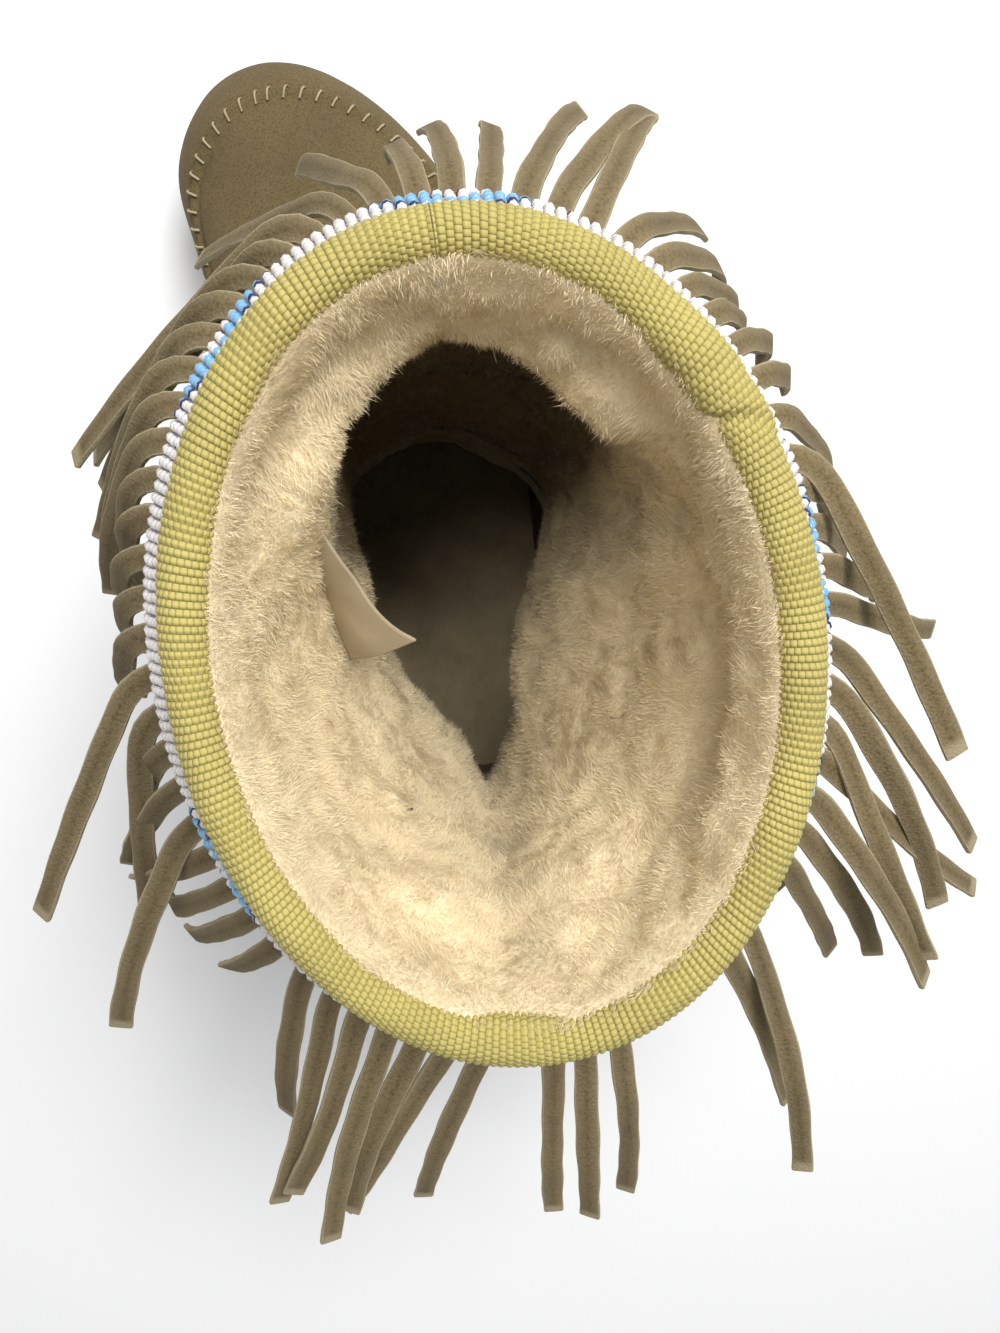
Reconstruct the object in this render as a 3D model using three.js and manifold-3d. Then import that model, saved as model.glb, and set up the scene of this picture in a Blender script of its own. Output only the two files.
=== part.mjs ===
import * as THREE from 'three';
import { mergeVertices } from 'three/addons/utils/BufferGeometryUtils.js';
import Module from 'manifold-3d';

// A right mukluk boot in millimetres. It stands on z = 0 with its toe towards -Y and the
// wearer's left towards +X. The origin is on the heel's flat, under the middle of the heel.

// Foot
const FOOT_LENGTH = 268;
const BALL_WIDTH = 101;
const HEEL_BACK = 34;
const TOE_SWING = 15;
const ANKLE_HEIGHT = 122;
const ANKLE_LENGTH = 126;
const ANKLE_WIDTH = 92;
const ANKLE_AHEAD = 36;
const WALL = 2;

// Sole and footbed
const HEEL_HEIGHT = 22;
const ARCH_RISE = 3.5;
const TOE_SPRING = 9;
const WELT = 3;
const GROOVE_WIDTH = 4.5;
const GROOVE_DEPTH = 3;
const FOREFOOT_GROOVES = 7;
const HEEL_GROOVES = 4;
const INSOLE_THICKNESS = 5;

// Shaft and collar
const COLLAR_HEIGHT = 250;
const COLLAR_LENGTH = 145;
const COLLAR_WIDTH = 110;
const COLLAR_AHEAD = 45;
const COLLAR_TURN = 7;
const FLARE = 7;
const SHAFT_TUCK = 2.4;
const SHAFT_TUCK_DROP = 12;

// Collar binding, a tape folded over the edge
const BINDING_WIDTH = 8.6;
const BINDING_DROP = 6;
const BINDING_OUTER_LEG = 2;
const BINDING_ROOF = 1.6;

// Bead band and fringe
const BAND_START = 1.4;
const BAND_HEIGHT = 26;
const BAND_THICKNESS = 2.2;
const HEADER_HEIGHT = 8;
const HEADER_THICKNESS = 1.6;
const STRIP_COUNT = 66;
const STRIP_LENGTH = 92;
const STRIP_WIDTH = 5.4;
const STRIP_THICKNESS = 1.5;
const STRIP_BEND = 22;
const STRIP_START_SLOPE = 12;

// Moccasin seam
const SEAM_RIDGE = 1.4;
const SEAM_LIFT = 2.2;

// Clearance between pieces that meet, and the steps of the curved surfaces
const GAP = 0.3;
const FOOTBED_GAP = 0.5;
const AROUND = 44;
const ANGLE_PULL = 0.55;

// Half-widths of the foot's outline as shares of half the ball width, divided by the sine
// of the angle: 0 degrees is the toe tip, 180 the heel's back.
const OUTLINE_ROWS = [
  { angle: 0, inner: 1.42, outer: 1.3 },
  { angle: 30, inner: 1.42, outer: 1.24 },
  { angle: 50, inner: 1.22, outer: 1.16 },
  { angle: 68, inner: 1.06, outer: 1.1 },
  { angle: 90, inner: 0.86, outer: 0.98 },
  { angle: 115, inner: 0.8, outer: 0.86 },
  { angle: 135, inner: 1.0, outer: 1.0 },
  { angle: 155, inner: 1.26, outer: 1.26 },
  { angle: 180, inner: 1.4, outer: 1.4 },
];

// Sole from heel (0) to toe (1): arch and spring as shares of their heights, thickness as
// a share of the heel's height.
const SOLE_ROWS = [
  { along: 0, arch: 0, spring: 0, thickness: 1 },
  { along: 0.29, arch: 0, spring: 0, thickness: 0.95 },
  { along: 0.38, arch: 1, spring: 0, thickness: 0.68 },
  { along: 0.45, arch: 1, spring: 0, thickness: 0.56 },
  { along: 0.53, arch: 0, spring: 0, thickness: 0.56 },
  { along: 0.77, arch: 0, spring: 0, thickness: 0.52 },
  { along: 0.9, arch: 0, spring: 0.34, thickness: 0.5 },
  { along: 1, arch: 0, spring: 1, thickness: 0.5 },
];

// Side of the sole from bottom (0) to top (1), as shares of the welt's width.
const SOLE_SIDE_ROWS = [
  { up: 0, out: 0.55 },
  { up: 0.1, out: 0.95 },
  { up: 0.5, out: 0.95 },
  { up: 0.58, out: 0.6 },
  { up: 0.74, out: 0.6 },
  { up: 0.82, out: 1 },
  { up: 1, out: 1 },
];

// Vamp, from the sole's edge (reach 0) to the ankle (reach 1). The rise is a share of the
// ankle's height over the sole, over the toe and at the sides. Ridge is the seam's height.
const VAMP_ROWS = [
  { reach: 0, toe: 0, side: 0, ridge: 0 },
  { reach: -0.012, toe: 0.1, side: 0.09, ridge: 0 },
  { reach: 0, toe: 0.2, side: 0.18, ridge: 0 },
  { reach: 0.045, toe: 0.29, side: 0.25, ridge: 0 },
  { reach: 0.1, toe: 0.345, side: 0.295, ridge: 0 },
  { reach: 0.125, toe: 0.36, side: 0.31, ridge: 1 },
  { reach: 0.15, toe: 0.375, side: 0.325, ridge: 0 },
  { reach: 0.28, toe: 0.43, side: 0.4, ridge: 0 },
  { reach: 0.45, toe: 0.505, side: 0.5, ridge: 0 },
  { reach: 0.62, toe: 0.6, side: 0.6, ridge: 0 },
  { reach: 0.78, toe: 0.72, side: 0.73, ridge: 0 },
  { reach: 0.91, toe: 0.86, side: 0.86, ridge: 0 },
];

// Shaft between the ankle (0) and the tuck below the flare (1). Grow is how far it has
// widened from the ankle's size to the tuck's.
const SHAFT_ROWS = [
  { up: 0, grow: 0 },
  { up: 0.18, grow: 0.11 },
  { up: 0.42, grow: 0.38 },
  { up: 0.7, grow: 0.73 },
  { up: 1, grow: 1 },
];

// Flared edge below the collar: depth in shares of the bead band's height below the
// binding, swell in shares of the flare.
const EDGE_ROWS = [
  { depth: 1.28, swell: 1.02 },
  { depth: 0.85, swell: 1 },
  { depth: 0.5, swell: 0.9 },
  { depth: 0.3, swell: 0.72 },
  { depth: 0.14, swell: 0.36 },
  { depth: 0, swell: 0 },
];

// Section of the binding: out and down as shares of its width and drop, from the foot of
// its outer leg over the roof to the foot of its inner leg.
const BINDING_ROWS = [
  { out: 0, down: 1 },
  { out: 0.02, down: 0.55 },
  { out: -0.12, down: 0.2 },
  { out: -0.4, down: 0 },
  { out: -0.68, down: 0.06 },
  { out: -0.94, down: 0.42 },
  { out: -1, down: 1.4 },
];

// How the fringe lies round the boot, group by group. Turn runs from the toe towards the
// wearer's left, splay is the slope away from the vertical at the tips, and swing leans
// them sideways.
const FRINGE_ROWS = [
  { turn: 0, splay: 22, swing: 10 },
  { turn: 5.5, splay: 24, swing: 30 },
  { turn: 10.9, splay: 30, swing: 64 },
  { turn: 16.4, splay: 58, swing: 95 },
  { turn: 21.8, splay: 42, swing: 88 },
  { turn: 32.7, splay: 40, swing: 79 },
  { turn: 43.6, splay: 37, swing: 72 },
  { turn: 54.5, splay: 36, swing: 69 },
  { turn: 60, splay: 24, swing: 62 },
  { turn: 70.9, splay: 16, swing: 50 },
  { turn: 81.8, splay: 24, swing: 44 },
  { turn: 87.3, splay: 64, swing: 51 },
  { turn: 92.7, splay: 51, swing: 65 },
  { turn: 98.2, splay: 26, swing: 36 },
  { turn: 103.6, splay: 36, swing: 29 },
  { turn: 109.1, splay: 60, swing: 38 },
  { turn: 114.5, splay: 32, swing: 10 },
  { turn: 130.9, splay: 32, swing: 10 },
  { turn: 136.4, splay: 55, swing: 26 },
  { turn: 147.3, splay: 67, swing: 18 },
  { turn: 158.2, splay: 65, swing: -4 },
  { turn: 169.1, splay: 57, swing: -12 },
  { turn: 174.5, splay: 20, swing: -6 },
  { turn: 180, splay: 64, swing: -6 },
  { turn: 190.9, splay: 62, swing: -13 },
  { turn: 196.4, splay: 22, swing: 4 },
  { turn: 207.3, splay: 24, swing: -10 },
  { turn: 212.7, splay: 62, swing: -20 },
  { turn: 218.2, splay: 75, swing: -33 },
  { turn: 223.6, splay: 26, swing: -10 },
  { turn: 229.1, splay: 47, swing: -26 },
  { turn: 234.5, splay: 57, swing: -29 },
  { turn: 240, splay: 68, swing: -36 },
  { turn: 245.5, splay: 62, swing: -34 },
  { turn: 250.9, splay: 71, swing: -55 },
  { turn: 261.8, splay: 68, swing: -51 },
  { turn: 267.3, splay: 39, swing: -25 },
  { turn: 272.7, splay: 30, swing: -30 },
  { turn: 283.6, splay: 24, swing: -30 },
  { turn: 289.1, splay: 79, swing: -78 },
  { turn: 294.5, splay: 30, swing: -40 },
  { turn: 300, splay: 20, swing: -20 },
  { turn: 321.8, splay: 22, swing: -34 },
  { turn: 327.3, splay: 27, swing: -29 },
  { turn: 332.7, splay: 38, swing: -4 },
  { turn: 338.2, splay: 34, swing: -14 },
  { turn: 349.1, splay: 26, swing: -4 },
  { turn: 360, splay: 22, swing: 10 },
];
// Where a strip's faces meet, as shares of its bend, and then its tip.
const STRIP_BEND_SHARES = [0, 0.4, 0.8];
const SPLAY_SPREAD = 2;
const SWING_SPREAD = 3;
const LENGTH_SPREAD = 6;

const radians = THREE.MathUtils.degToRad;
// The seam runs back from the toe and fades out at the sides of the foot.
const SEAM_FADE = radians(84);
const SEAM_END = radians(107);
const wasm = await Module();
wasm.setup();

// A smooth curve through a column of a table that keeps level stretches level.
function column(rows, at, name, value) {
  const x = rows.map((row) => row[at]);
  const y = rows.map((row) => row[name]);
  const last = x.length - 2;
  const slope = (i) => (y[i + 1] - y[i]) / (x[i + 1] - x[i]);
  const bend = (i) => {
    if (i === 0) return slope(0);
    if (i === last + 1) return slope(last);
    const before = slope(i - 1);
    const after = slope(i);
    return before * after <= 0 ? 0 : (2 * before * after) / (before + after);
  };
  let i = 0;
  while (i < last && value > x[i + 1]) i += 1;
  const span = x[i + 1] - x[i];
  const t = THREE.MathUtils.clamp((value - x[i]) / span, 0, 1);
  const t2 = t * t;
  const t3 = t2 * t;
  return y[i] * (2 * t3 - 3 * t2 + 1) + bend(i) * span * (t3 - 2 * t2 + t)
    + y[i + 1] * (3 * t2 - 2 * t3) + bend(i + 1) * span * (t3 - t2);
}

const angles = Array.from({ length: AROUND }, (_, i) => (2 * Math.PI * i) / AROUND);

// Foot outline at an angle, grown outwards by a margin.
function footPoint(angle, margin) {
  const forward = Math.cos(angle);
  const sideways = Math.sin(angle);
  const fromToe = THREE.MathUtils.radToDeg(Math.acos(THREE.MathUtils.clamp(forward, -1, 1)));
  const share = column(OUTLINE_ROWS, 'angle', sideways > 0 ? 'inner' : 'outer', fromToe);
  const halfWidth = (BALL_WIDTH / 2) * share + margin;
  const swing = TOE_SWING * Math.max(0, forward) ** 2;
  const middle = HEEL_BACK - FOOT_LENGTH / 2;
  return new THREE.Vector2(halfWidth * sideways + swing, middle - (FOOT_LENGTH / 2 + margin) * forward);
}

const alongFoot = (y) => (HEEL_BACK - y) / FOOT_LENGTH;

function soleBottom(y) {
  const along = alongFoot(y);
  return ARCH_RISE * column(SOLE_ROWS, 'along', 'arch', along)
    + TOE_SPRING * column(SOLE_ROWS, 'along', 'spring', along);
}

function soleTop(y) {
  return soleBottom(y) + HEEL_HEIGHT * column(SOLE_ROWS, 'along', 'thickness', alongFoot(y));
}

// Point of an oval round the shaft. Turn is measured from the toe, and the oval is turned
// and set ahead of the heel by the share that it has grown from ankle to collar.
function ovalPoint(turn, length, width, grown) {
  const twist = radians(COLLAR_TURN) * grown;
  const ahead = THREE.MathUtils.lerp(ANKLE_AHEAD, COLLAR_AHEAD, grown);
  const sideways = (width / 2) * Math.sin(turn);
  const forward = (length / 2) * Math.cos(turn);
  return new THREE.Vector2(
    sideways * Math.cos(twist) - forward * Math.sin(twist) - ahead * Math.sin(twist),
    -sideways * Math.sin(twist) - forward * Math.cos(twist) - ahead * Math.cos(twist),
  );
}

// The upper's columns crowd towards the front of the shaft, so that they fan over the vamp.
const shaftTurn = (angle) => angle - ANGLE_PULL * Math.sin(angle);

const BINDING_FOOT = COLLAR_HEIGHT - BINDING_DROP;
const SLOT_OUT = -(BINDING_OUTER_LEG + GAP);
const EDGE_LOW = BINDING_FOOT - EDGE_ROWS[0].depth * BAND_HEIGHT;

// Outer face of the wall below the collar, as a distance out from the collar's oval.
function edgeOut(z) {
  const depth = (BINDING_FOOT - z) / BAND_HEIGHT;
  return SLOT_OUT + FLARE * column([...EDGE_ROWS].reverse(), 'depth', 'swell', depth);
}

// A ring of points round the collar's oval, a distance out from it at a height.
function collarRing(out, z) {
  return angles.map((angle) => {
    const flat = ovalPoint(shaftTurn(angle), COLLAR_LENGTH + 2 * out, COLLAR_WIDTH + 2 * out, 1);
    return new THREE.Vector3(flat.x, flat.y, z);
  });
}

// Points on the flared edge between two heights, moved off the wall by a distance.
function edgeLine(heights, away) {
  const step = GAP;
  return heights.map((z) => {
    const lean = (edgeOut(z + step) - edgeOut(z - step)) / (2 * step);
    const size = Math.hypot(1, lean);
    return { out: edgeOut(z) + away / size, z: z - (away * lean) / size };
  });
}

// Closed surface through rings of points. The last ring joins the first one.
function ringSolid(rings) {
  const count = rings[0].length;
  const index = [];
  rings.forEach((_, row) => {
    const next = (row + 1) % rings.length;
    for (let i = 0; i < count; i += 1) {
      const j = (i + 1) % count;
      index.push(row * count + i, row * count + j, next * count + j);
      index.push(row * count + i, next * count + j, next * count + i);
    }
  });
  return facingOut(rings.flat(), index);
}

// Closed surface through stacked rings with a lid below and above. The lids run in bands
// from one side of the foot to the other, so they are ruled across it.
function stackSolid(rings) {
  const count = rings[0].length;
  const index = [];
  for (let row = 0; row < rings.length - 1; row += 1) {
    for (let i = 0; i < count; i += 1) {
      const j = (i + 1) % count;
      const low = row * count;
      const high = low + count;
      index.push(low + i, low + j, high + j, low + i, high + j, high + i);
    }
  }
  const lid = (base, flip) => {
    for (let i = 0; i < count / 2; i += 1) {
      const corners = [i, i + 1, count - i - 1, (count - i) % count].map((k) => base + k);
      const faces = [[0, 1, 2], [0, 2, 3]].map((face) => face.map((k) => corners[k]));
      faces.filter((face) => new Set(face).size === 3)
        .forEach((face) => index.push(...(flip ? face.reverse() : face)));
    }
  };
  lid(0, true);
  lid((rings.length - 1) * count, false);
  return facingOut(rings.flat(), index);
}

function facingOut(points, index) {
  let volume = 0;
  for (let i = 0; i < index.length; i += 3) {
    const [a, b, c] = [0, 1, 2].map((k) => points[index[i + k]]);
    volume += a.dot(b.clone().cross(c));
  }
  if (volume < 0) index.reverse();
  const geometry = new THREE.BufferGeometry();
  geometry.setAttribute('position', new THREE.Float32BufferAttribute(points.flatMap((p) => [p.x, p.y, p.z]), 3));
  geometry.setIndex(index);
  return geometry;
}

function toManifold(source) {
  const bare = source.clone();
  bare.deleteAttribute('normal');
  bare.deleteAttribute('uv');
  const merged = mergeVertices(bare, 1e-4);
  return new wasm.Manifold(new wasm.Mesh({
    numProp: 3,
    vertProperties: Float32Array.from(merged.attributes.position.array),
    triVerts: Uint32Array.from(merged.index.array),
  }));
}

function fromManifold(solid) {
  const mesh = solid.getMesh();
  const geometry = new THREE.BufferGeometry();
  geometry.setAttribute('position', new THREE.Float32BufferAttribute(mesh.vertProperties, 3));
  geometry.setIndex([...mesh.triVerts]);
  return geometry;
}

function footRing(margin, height) {
  return angles.map((angle) => {
    const flat = footPoint(angle, margin);
    return new THREE.Vector3(flat.x, flat.y, height(flat.y));
  });
}

// Outsole: a stack of outlines with the side's rib and step, and grooves cut across it.
function outsole() {
  const rings = SOLE_SIDE_ROWS.map((row) => footRing(
    WELT * row.out,
    (y) => THREE.MathUtils.lerp(soleBottom(y), soleTop(y), row.up),
  ));
  const grooves = [
    { from: 0.03, to: 0.23, count: HEEL_GROOVES },
    { from: 0.54, to: 0.92, count: FOREFOOT_GROOVES },
  ];
  let body = toManifold(stackSolid(rings));
  grooves.forEach(({ from, to, count }) => {
    for (let i = 0; i < count; i += 1) {
      const along = THREE.MathUtils.lerp(from, to, count > 1 ? i / (count - 1) : 0.5);
      const y = HEEL_BACK - FOOT_LENGTH * along;
      const top = soleBottom(y) + GROOVE_DEPTH;
      const height = top + GROOVE_DEPTH;
      const groove = new THREE.BoxGeometry(2 * BALL_WIDTH, GROOVE_WIDTH, height);
      groove.translate(0, y, top - height / 2);
      body = body.subtract(toManifold(groove));
    }
  });
  return fromManifold(body);
}

// Direction out of a level ring at one of its points.
function ringNormal(ring, i) {
  const count = ring.length;
  const across = ring[(i + 1) % count].clone().sub(ring[(i + count - 1) % count]);
  return new THREE.Vector3(across.y, -across.x, 0).normalize();
}

function insole() {
  const edge = footRing(0, () => 0);
  const inset = edge.map((point, i) => point.clone().addScaledVector(ringNormal(edge, i), -(WALL + FOOTBED_GAP)));
  const raised = (height) => inset.map(({ x, y }) => new THREE.Vector3(x, y, soleTop(y) + GAP + height));
  return stackSolid([raised(0), raised(INSOLE_THICKNESS)]);
}

// Rings of the upper's outer face, from the sole's edge up to the collar.
function upperRings() {
  const rings = VAMP_ROWS.map((row) => angles.map((angle) => {
    const foot = footPoint(angle, 0);
    const ankle = ovalPoint(shaftTurn(angle), ANKLE_LENGTH, ANKLE_WIDTH, 0);
    const flat = foot.clone().lerp(ankle, row.reach);
    const front = Math.max(0, Math.cos(angle)) ** 2;
    const low = soleTop(foot.y) + GAP;
    const rise = THREE.MathUtils.lerp(row.side, row.toe, front);
    const point = new THREE.Vector3(flat.x, flat.y, THREE.MathUtils.lerp(low, ANKLE_HEIGHT, rise));
    const outwards = foot.clone().sub(ankle).normalize();
    const ahead = THREE.MathUtils.smoothstep(Math.cos(angle), Math.cos(SEAM_END), Math.cos(SEAM_FADE));
    const lift = new THREE.Vector3(outwards.x, outwards.y, SEAM_LIFT).normalize();
    return point.addScaledVector(lift, SEAM_RIDGE * row.ridge * ahead);
  }));
  const tuckOut = edgeOut(EDGE_LOW) - SHAFT_TUCK;
  SHAFT_ROWS.forEach(({ up, grow }) => {
    const z = THREE.MathUtils.lerp(ANKLE_HEIGHT, EDGE_LOW - SHAFT_TUCK_DROP, up);
    const length = THREE.MathUtils.lerp(ANKLE_LENGTH, COLLAR_LENGTH + 2 * tuckOut, grow);
    const width = THREE.MathUtils.lerp(ANKLE_WIDTH, COLLAR_WIDTH + 2 * tuckOut, grow);
    rings.push(angles.map((angle) => {
      const flat = ovalPoint(shaftTurn(angle), length, width, grow);
      return new THREE.Vector3(flat.x, flat.y, z);
    }));
  });
  EDGE_ROWS.forEach(({ depth }) => {
    const z = BINDING_FOOT - depth * BAND_HEIGHT;
    rings.push(collarRing(edgeOut(z), z));
  });
  rings.push(collarRing(SLOT_OUT, COLLAR_HEIGHT - BINDING_ROOF - GAP));
  return rings;
}

// The inner face is the outer one moved in by the wall. Its two rims stay level.
function wallInside(rings) {
  const count = rings[0].length;
  return rings.map((ring, row) => ring.map((point, i) => {
    const across = ring[(i + 1) % count].clone().sub(ring[(i + count - 1) % count]);
    const above = rings[Math.min(row + 1, rings.length - 1)][i];
    const below = rings[Math.max(row - 1, 0)][i];
    const rim = row === 0 || row === rings.length - 1;
    const along = rim ? new THREE.Vector3(0, 0, 1) : above.clone().sub(below);
    const outwards = across.cross(along).normalize();
    return point.clone().addScaledVector(outwards, -WALL);
  }));
}

function upper() {
  const outside = upperRings();
  return ringSolid([...outside, ...wallInside(outside).reverse()]);
}

function collarBinding() {
  const section = BINDING_ROWS.map((row) => ({
    out: row.out * BINDING_WIDTH,
    z: COLLAR_HEIGHT - row.down * BINDING_DROP,
  }));
  const innerFoot = section.at(-1).z;
  const slotIn = SLOT_OUT - WALL - GAP;
  const roof = COLLAR_HEIGHT - BINDING_ROOF;
  section.push({ out: slotIn, z: innerFoot });
  section.push({ out: slotIn, z: roof });
  section.push({ out: -BINDING_OUTER_LEG, z: roof });
  section.push({ out: -BINDING_OUTER_LEG, z: BINDING_FOOT });
  return ringSolid(section.map(({ out, z }) => collarRing(out, z)));
}

// A sheet laid on the flared edge between two depths below the binding.
function edgeSheet(from, to, steps, thickness) {
  const heights = Array.from({ length: steps + 1 }, (_, i) => BINDING_FOOT - THREE.MathUtils.lerp(from, to, i / steps));
  const under = edgeLine(heights, GAP);
  const over = edgeLine(heights, GAP + thickness);
  return ringSolid([...over, ...under.reverse()].map(({ out, z }) => collarRing(out, z)));
}

const beadedBand = () => edgeSheet(BAND_START, BAND_START + BAND_HEIGHT, 4, BAND_THICKNESS);

// Repeatable spread between -1 and 1 for a numbered strip.
function spread(number, salt) {
  const value = Math.sin(number * 12.9898 + salt * 78.233) * 43758.5453;
  return 2 * (value - Math.floor(value)) - 1;
}

// One strip: it leaves the header level, bends over and hangs to its tip.
function fringeStrip(number) {
  const turn = (360 * number) / STRIP_COUNT;
  const splay = column(FRINGE_ROWS, 'turn', 'splay', turn) + SPLAY_SPREAD * spread(number, 1);
  const swing = column(FRINGE_ROWS, 'turn', 'swing', turn) + SWING_SPREAD * spread(number, 2);
  const length = STRIP_LENGTH + LENGTH_SPREAD * spread(number, 3);
  const z = BINDING_FOOT - BAND_START - BAND_HEIGHT - HEADER_HEIGHT / 2;
  const out = edgeOut(z) + GAP;
  const ringAt = (degrees) => {
    const flat = ovalPoint(radians(degrees), COLLAR_LENGTH + 2 * out, COLLAR_WIDTH + 2 * out, 1);
    return new THREE.Vector3(flat.x, flat.y, z);
  };
  const point = ringAt(turn);
  const across = ringAt(turn + 1).sub(ringAt(turn - 1)).normalize();
  const outwards = new THREE.Vector3(across.y, -across.x, 0);
  const stations = [...STRIP_BEND_SHARES.map((share) => share * STRIP_BEND), length];
  const rings = [];
  for (let i = 0; i < stations.length; i += 1) {
    const bent = THREE.MathUtils.smoothstep(stations[i], 0, STRIP_BEND);
    const down = radians(THREE.MathUtils.lerp(STRIP_START_SLOPE, 90 - splay, bent));
    const lean = radians(swing) * bent;
    const heading = outwards.clone().multiplyScalar(Math.cos(lean)).addScaledVector(across, Math.sin(lean));
    const path = heading.clone().multiplyScalar(Math.cos(down)).add(new THREE.Vector3(0, 0, -Math.sin(down)));
    const side = new THREE.Vector3(0, 0, 1).cross(heading).normalize().multiplyScalar(STRIP_WIDTH / 2);
    const face = side.clone().cross(path).normalize().multiplyScalar(STRIP_THICKNESS / 2);
    rings.push([[-1, -1], [1, -1], [1, 1], [-1, 1]].map(([s, f]) => point.clone()
      .addScaledVector(side, s).addScaledVector(face, f)));
    if (i + 1 < stations.length) point.addScaledVector(path, stations[i + 1] - stations[i]);
  }
  return rings;
}

function fringe() {
  const from = BAND_START + BAND_HEIGHT + GAP;
  let body = toManifold(edgeSheet(from, from + HEADER_HEIGHT, 1, HEADER_THICKNESS));
  for (let number = 0; number < STRIP_COUNT; number += 1) {
    body = body.add(toManifold(stripSolid(fringeStrip(number))));
  }
  return fromManifold(body);
}

function stripSolid(rings) {
  const index = [];
  for (let row = 0; row < rings.length - 1; row += 1) {
    for (let i = 0; i < 4; i += 1) {
      const j = (i + 1) % 4;
      const low = row * 4;
      index.push(low + i, low + j, low + 4 + j, low + i, low + 4 + j, low + 4 + i);
    }
  }
  const end = (rings.length - 1) * 4;
  index.push(2, 1, 0, 3, 2, 0, end, end + 1, end + 2, end, end + 2, end + 3);
  return facingOut(rings.flat(), index);
}

function piece(name, geometry, color, roughness) {
  const material = new THREE.MeshStandardMaterial({ color, roughness, metalness: 0 });
  const mesh = new THREE.Mesh(geometry, material);
  mesh.name = name;
  return mesh;
}

const boot = new THREE.Group();
boot.add(piece('outsole', outsole(), 0x6b5238, 0.85));
boot.add(piece('insole', insole(), 0xcdbb9a, 0.95));
boot.add(piece('upper', upper(), 0xa98c5a, 0.95));
boot.add(piece('collar_binding', collarBinding(), 0xd8c76a, 0.8));
boot.add(piece('beaded_band', beadedBand(), 0xe6e2dc, 0.35));
boot.add(piece('fringe', fringe(), 0x9c8353, 0.95));

export default boot;
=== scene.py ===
import math

import bpy
import numpy as np
from mathutils import Matrix, Vector


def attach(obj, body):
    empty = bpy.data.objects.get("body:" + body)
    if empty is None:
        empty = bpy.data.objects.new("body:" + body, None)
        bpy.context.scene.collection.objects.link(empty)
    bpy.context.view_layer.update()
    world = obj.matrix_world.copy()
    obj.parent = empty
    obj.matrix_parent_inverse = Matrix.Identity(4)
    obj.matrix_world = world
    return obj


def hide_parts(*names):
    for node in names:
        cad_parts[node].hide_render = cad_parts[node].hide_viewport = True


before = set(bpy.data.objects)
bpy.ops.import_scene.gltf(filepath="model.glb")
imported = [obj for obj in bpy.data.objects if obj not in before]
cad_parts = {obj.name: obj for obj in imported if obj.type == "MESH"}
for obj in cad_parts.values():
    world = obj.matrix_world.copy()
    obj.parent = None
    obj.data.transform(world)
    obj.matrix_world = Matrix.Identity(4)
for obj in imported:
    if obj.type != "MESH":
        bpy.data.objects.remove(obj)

bl_info = {
    "name": "Mukluk boot",
    "version": (1, 0, 0),
    "blender": (4, 5, 0),
    "location": "View3D > Sidebar > Boot",
    "description": "Suede, fringe, beads, ribbed binding and shearling of one mukluk boot",
    "category": "Object",
}

MM = 0.001

# Foot, sole, shaft and collar, in millimetres, as in the part's source
FOOT_LENGTH, BALL_WIDTH, HEEL_BACK, TOE_SWING = 268, 101, 34, 15
ANKLE_HEIGHT, ANKLE_LENGTH, ANKLE_WIDTH, ANKLE_AHEAD = 122, 126, 92, 36
WALL, HEEL_HEIGHT, ARCH_RISE, TOE_SPRING, WELT = 2, 22, 3.5, 9, 3
GROOVE_WIDTH, GROOVE_DEPTH, FOREFOOT_GROOVES, HEEL_GROOVES = 4.5, 3, 7, 4
INSOLE_THICKNESS, FOOTBED_GAP, GAP = 5, 0.5, 0.3
COLLAR_HEIGHT, COLLAR_LENGTH, COLLAR_WIDTH = 250, 145, 110
COLLAR_AHEAD, COLLAR_TURN, FLARE = 45, 7, 7
SHAFT_TUCK, SHAFT_TUCK_DROP = 2.4, 12
BINDING_WIDTH, BINDING_DROP, BINDING_OUTER_LEG, BINDING_ROOF = 8.6, 6, 2, 1.6
BAND_START, BAND_HEIGHT, BAND_THICKNESS = 1.4, 26, 2.2
HEADER_HEIGHT, HEADER_THICKNESS = 8, 1.6
STRIP_COUNT, STRIP_LENGTH, STRIP_WIDTH, STRIP_THICKNESS = 66, 92, 5.4, 1.5
STRIP_BEND, STRIP_START_SLOPE = 22, 12
SPLAY_SPREAD, SWING_SPREAD, LENGTH_SPREAD = 2, 3, 6
ANGLE_PULL = 0.55

# Angle from the toe tip, share of the ball's half-width, on the inner and the outer side
INNER_ROWS = [(0, 1.42), (30, 1.42), (50, 1.22), (68, 1.06), (90, 0.86), (115, 0.8), (135, 1.0),
              (155, 1.26), (180, 1.4)]
OUTER_ROWS = [(0, 1.3), (30, 1.24), (50, 1.16), (68, 1.1), (90, 0.98), (115, 0.86), (135, 1.0),
              (155, 1.26), (180, 1.4)]
# Along the foot from the heel, with the arch, the toe's spring and the thickness there
SOLE_ALONG = [0, 0.29, 0.38, 0.45, 0.53, 0.77, 0.9, 1]
SOLE_ARCH = [0, 0, 1, 1, 0, 0, 0, 0]
SOLE_SPRING = [0, 0, 0, 0, 0, 0, 0.34, 1]
SOLE_THICKNESS = [1, 0.95, 0.68, 0.56, 0.56, 0.52, 0.5, 0.5]
# Share of the sole's height, share of the welt, with the groove between them
SOLE_SIDE_ROWS = [(0, 0.35), (0.03, 0.75), (0.1, 0.95), (0.3, 0.97), (0.5, 0.95), (0.56, 0.85), (0.58, 0.6),
                  (0.66, 0.57), (0.74, 0.6), (0.76, 0.85), (0.82, 1), (0.9, 1.03), (0.97, 1), (1, 0.85)]
# Along the foot, the first and the last groove of the heel and of the forefoot
HEEL_GROOVE_SPAN, FOREFOOT_GROOVE_SPAN = (0.03, 0.23), (0.54, 0.92)
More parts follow.
